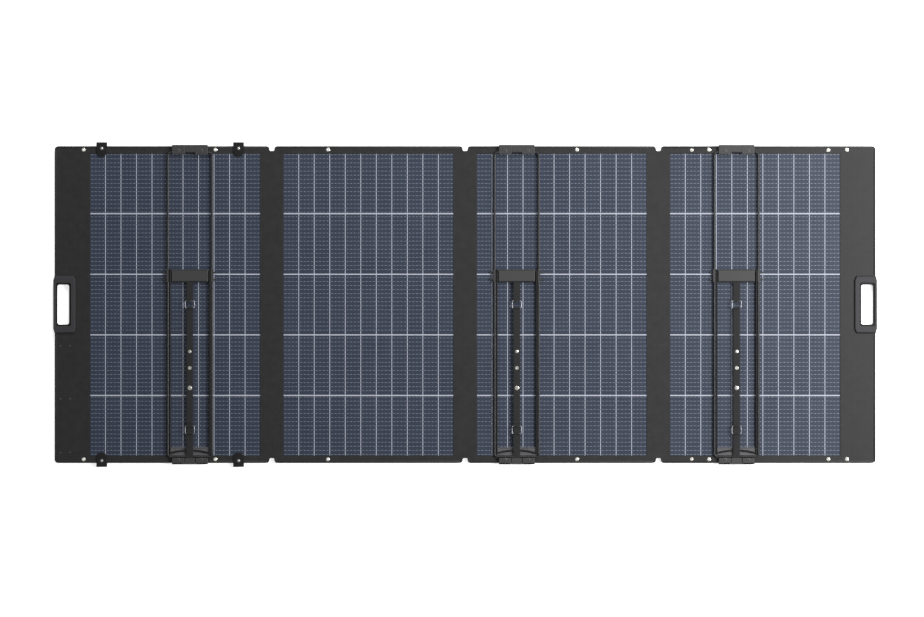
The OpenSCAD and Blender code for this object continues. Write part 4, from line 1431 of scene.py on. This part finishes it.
    def strap(self) -> None:
        """Three lengths of webbing, two wire rings and three snaps, from the leaf to the frame, on no body of
        their own.
        """
        k = self.leaf
        low, high = box_mm(f"strap_{k}")
        x, z0, z1 = self.x, low.z, high.z
        upper, lower = self.rings
        gap = self.tape_gap
        tape = Shape()
        for half, y0, y1, down, up in ((self.tape_half, upper + gap, high.y, 0, 0),
                                       (self.fold_half, lower + gap, upper - gap, 0, 0),
                                       (self.fold_half, lower + 20, upper - 20, -0.9, 0.9),
                                       (self.tape_half, low.y, lower - gap, 0, 0),
                                       (self.tape_half, lower - 9, lower + 9, 0.4, -0.6)):
            tape.tape((x - half, y0, z0 - down), (x + half, y1, z1 + up), self.tape_rib)
        metal = Shape()
        seams = Shape()
        for ring in self.rings:
            for s in ENDS:
                y = ring + s * self.ring_half
                tape.slab((x - self.fold_half, y - 2.4, z0), (x + self.fold_half, y + 2.4, z1 + 2.6), 1.2, 3)
                for y in (ring + s * off for off in self.seams_off):
                    seams.seam((x - self.seam_half, y), (x + self.seam_half, y), z1 + 0.05, self.seam_pitch)
            metal.tube(self.ring_path(ring, z1 + self.ring_wire - 0.4), self.ring_wire, closed=True)
        snaps = Shape()
        snap_z = z1 + 0.8
        for form, y in zip((Metal.dome(snap_z, 5.0, 1.2), Metal.socket(snap_z, 5.8, 1.1),
                            Metal.dome(snap_z, 6.4, 0.7)), self.snaps):
            snaps.add(form, Matrix.Translation((x, y, 0)))
        cloth = tape.piece(f"stand_strap_{k}", WEBBING, "webbing")
        bright = metal.piece(f"strap_rings_{k}", STEEL, "ring_steel")
        pressed = snaps.piece(f"strap_snaps_{k}", NICKEL, "ring_steel")
        sewn = seams.piece(f"strap_stitching_{k}", THREAD, "webbing")
        for made in (cloth, bright, pressed, sewn):
            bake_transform(made)
        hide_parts(f"strap_{k}")
        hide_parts(f"strap_hardware_{k}")

    def ring_path(self, ring: float, z: float) -> list[tuple[float, float, float]]:
        """The middle line of a wire ring, a rectangle with rounded corners.

        Args:
            ring: The ring's middle along Y.
            z: Its height.

        Returns:
            The points, in order round the ring.
        """
        c = self.ring_corner
        a, b = self.ring_w - c, self.ring_half - c
        corners = ((1, 1, 0), (-1, 1, 1), (-1, -1, 2), (1, -1, 3))
        turns = [(sx, sy, math.pi / 2 * (first + i / 4)) for sx, sy, first in corners for i in range(5)]
        return [(self.x + sx * a + c * math.cos(t), ring + sy * b + c * math.sin(t), z)
                for sx, sy, t in turns]


# ---- studio ----


@dataclass
class Studio:
    """Floor, lights and the camera straight above."""

    centre_x: float = -9.7
    centre_y: float = -12.0
    field_w: float = 2813.6
    lens: float = 180.0
    sensor: float = 36.0
    # the camera's height is counted from half the panel's thickness, in metres
    lift: float = 0.012
    floor_half: float = 30000.0
    floor_drop: float = 0.5
    floor_glow: float = 0.62
    surround: float = 0.36

    def build(self) -> None:
        """Builds the floor, the lights and the camera."""
        self.floor()
        self.lights()
        self.camera()

    def floor(self) -> None:
        """A pale floor just under the panel."""
        shape = Shape()
        bmesh.ops.create_grid(shape.bm, x_segments=1, y_segments=1, size=self.floor_half)
        bmesh.ops.translate(shape.bm, vec=(0, 0, -self.floor_drop), verts=shape.bm.verts)
        bmesh.ops.scale(shape.bm, vec=(MM, MM, MM), verts=shape.bm.verts)
        mesh = bpy.data.meshes.new("studio_floor")
        shape.bm.to_mesh(mesh)
        mesh.materials.append(FLOOR.material())
        made = bpy.data.objects.new("studio_floor", mesh)
        bpy.context.scene.collection.objects.link(made)
        shader = FLOOR.material().node_tree.nodes["Principled BSDF"]
        shader.inputs["Emission Color"].default_value = (1, 1, 1, 1)
        shader.inputs["Emission Strength"].default_value = self.floor_glow

    def light(self, name: str, place: tuple, aim: tuple, size: float, power: float) -> None:
        """Adds one square softbox.

        Args:
            name: The lamp's name.
            place: Where it stands, in metres.
            aim: The point that it faces.
            size: Length of its sides, in metres.
            power: Its power in watts.
        """
        lamp = bpy.data.lights.new(name, "AREA")
        lamp.shape = "SQUARE"
        lamp.size = size
        lamp.energy = power
        made = bpy.data.objects.new(name, lamp)
        made.location = place
        made.rotation_euler = (Vector(aim) - Vector(place)).to_track_quat("-Z", "Y").to_euler()
        bpy.context.scene.collection.objects.link(made)

    def lights(self) -> None:
        """Soft light from all round, brighter from the right."""
        world = bpy.data.worlds.new("soft_surround")
        world.use_nodes = True
        background = world.node_tree.nodes["Background"]
        background.inputs["Color"].default_value = (1, 1, 1, 1)
        background.inputs["Strength"].default_value = self.surround
        bpy.context.scene.world = world
        self.light("right_softbox", (3.7, 0.6, 3.6), (1.0, 0, 0), 2.4, 470.0)
        self.light("top_softbox", (0.0, 3.6, 2.6), (0, 0, 0), 2.0, 120.0)

    def camera(self) -> None:
        """A long lens straight above, upright along Y."""
        data = bpy.data.cameras.new("camera")
        data.lens = self.lens
        data.sensor_width = self.sensor
        height = self.field_w * MM * self.lens / self.sensor
        data.clip_end = 60.0
        made = bpy.data.objects.new("camera", data)
        made.location = (self.centre_x * MM, self.centre_y * MM, height + self.lift)
        bpy.context.scene.collection.objects.link(made)
        bpy.context.scene.camera = made


def main() -> None:
    """Builds the panel piece by piece."""
    logging.basicConfig(level=logging.INFO, format="%(name)s %(message)s")
    bpy.context.scene.view_settings.view_transform = "Standard"
    levels = Levels.read()
    Studio().build()
    for k in LEAVES:
        Leaf(k, levels).build()
    for k in FOLDS:
        FoldStrip(k).build()
    for k in GRIPPED:
        Handle(k, levels).build()
    stand_x = {k: sum(v.x for v in box_mm(f"outer_frame_{k}")) / 2 for k in STANDS}
    mounts = {m["name"]: m for m in frame["record"]["mounts"]}
    corner = mounts["corner_eyelets"]["dims"]["spacing_x_mm"] / 2
    line = {k: mounts[f"eyelets_leaf_{k}"]["pos_m"][0] / MM for k in LEAVES}
    # the studs lie where the tabs of one edge come down on the folded panel
    studs = tuple(-sum(v.x for v in box_mm(f"closure_tab_{n}")) / 2 for n in (1, 3))
    Fasteners(1, levels, (-corner, line[1]), stand_x[1]).build()
    Fasteners(2, levels, (line[2],)).build()
    Fasteners(3, levels, (line[3],), stand_x[3]).build()
    Fasteners(4, levels, (line[4], corner), stand_x[4], studs).build()
    for n in TABS:
        ClosureTab(n, levels).build()
    TabBases(levels).build()
    JunctionBox(levels).build()
    for k in STANDS:
        PropStand(k, levels).build()
    bpy.context.view_layer.update()


if __name__ == "__main__":
    main()
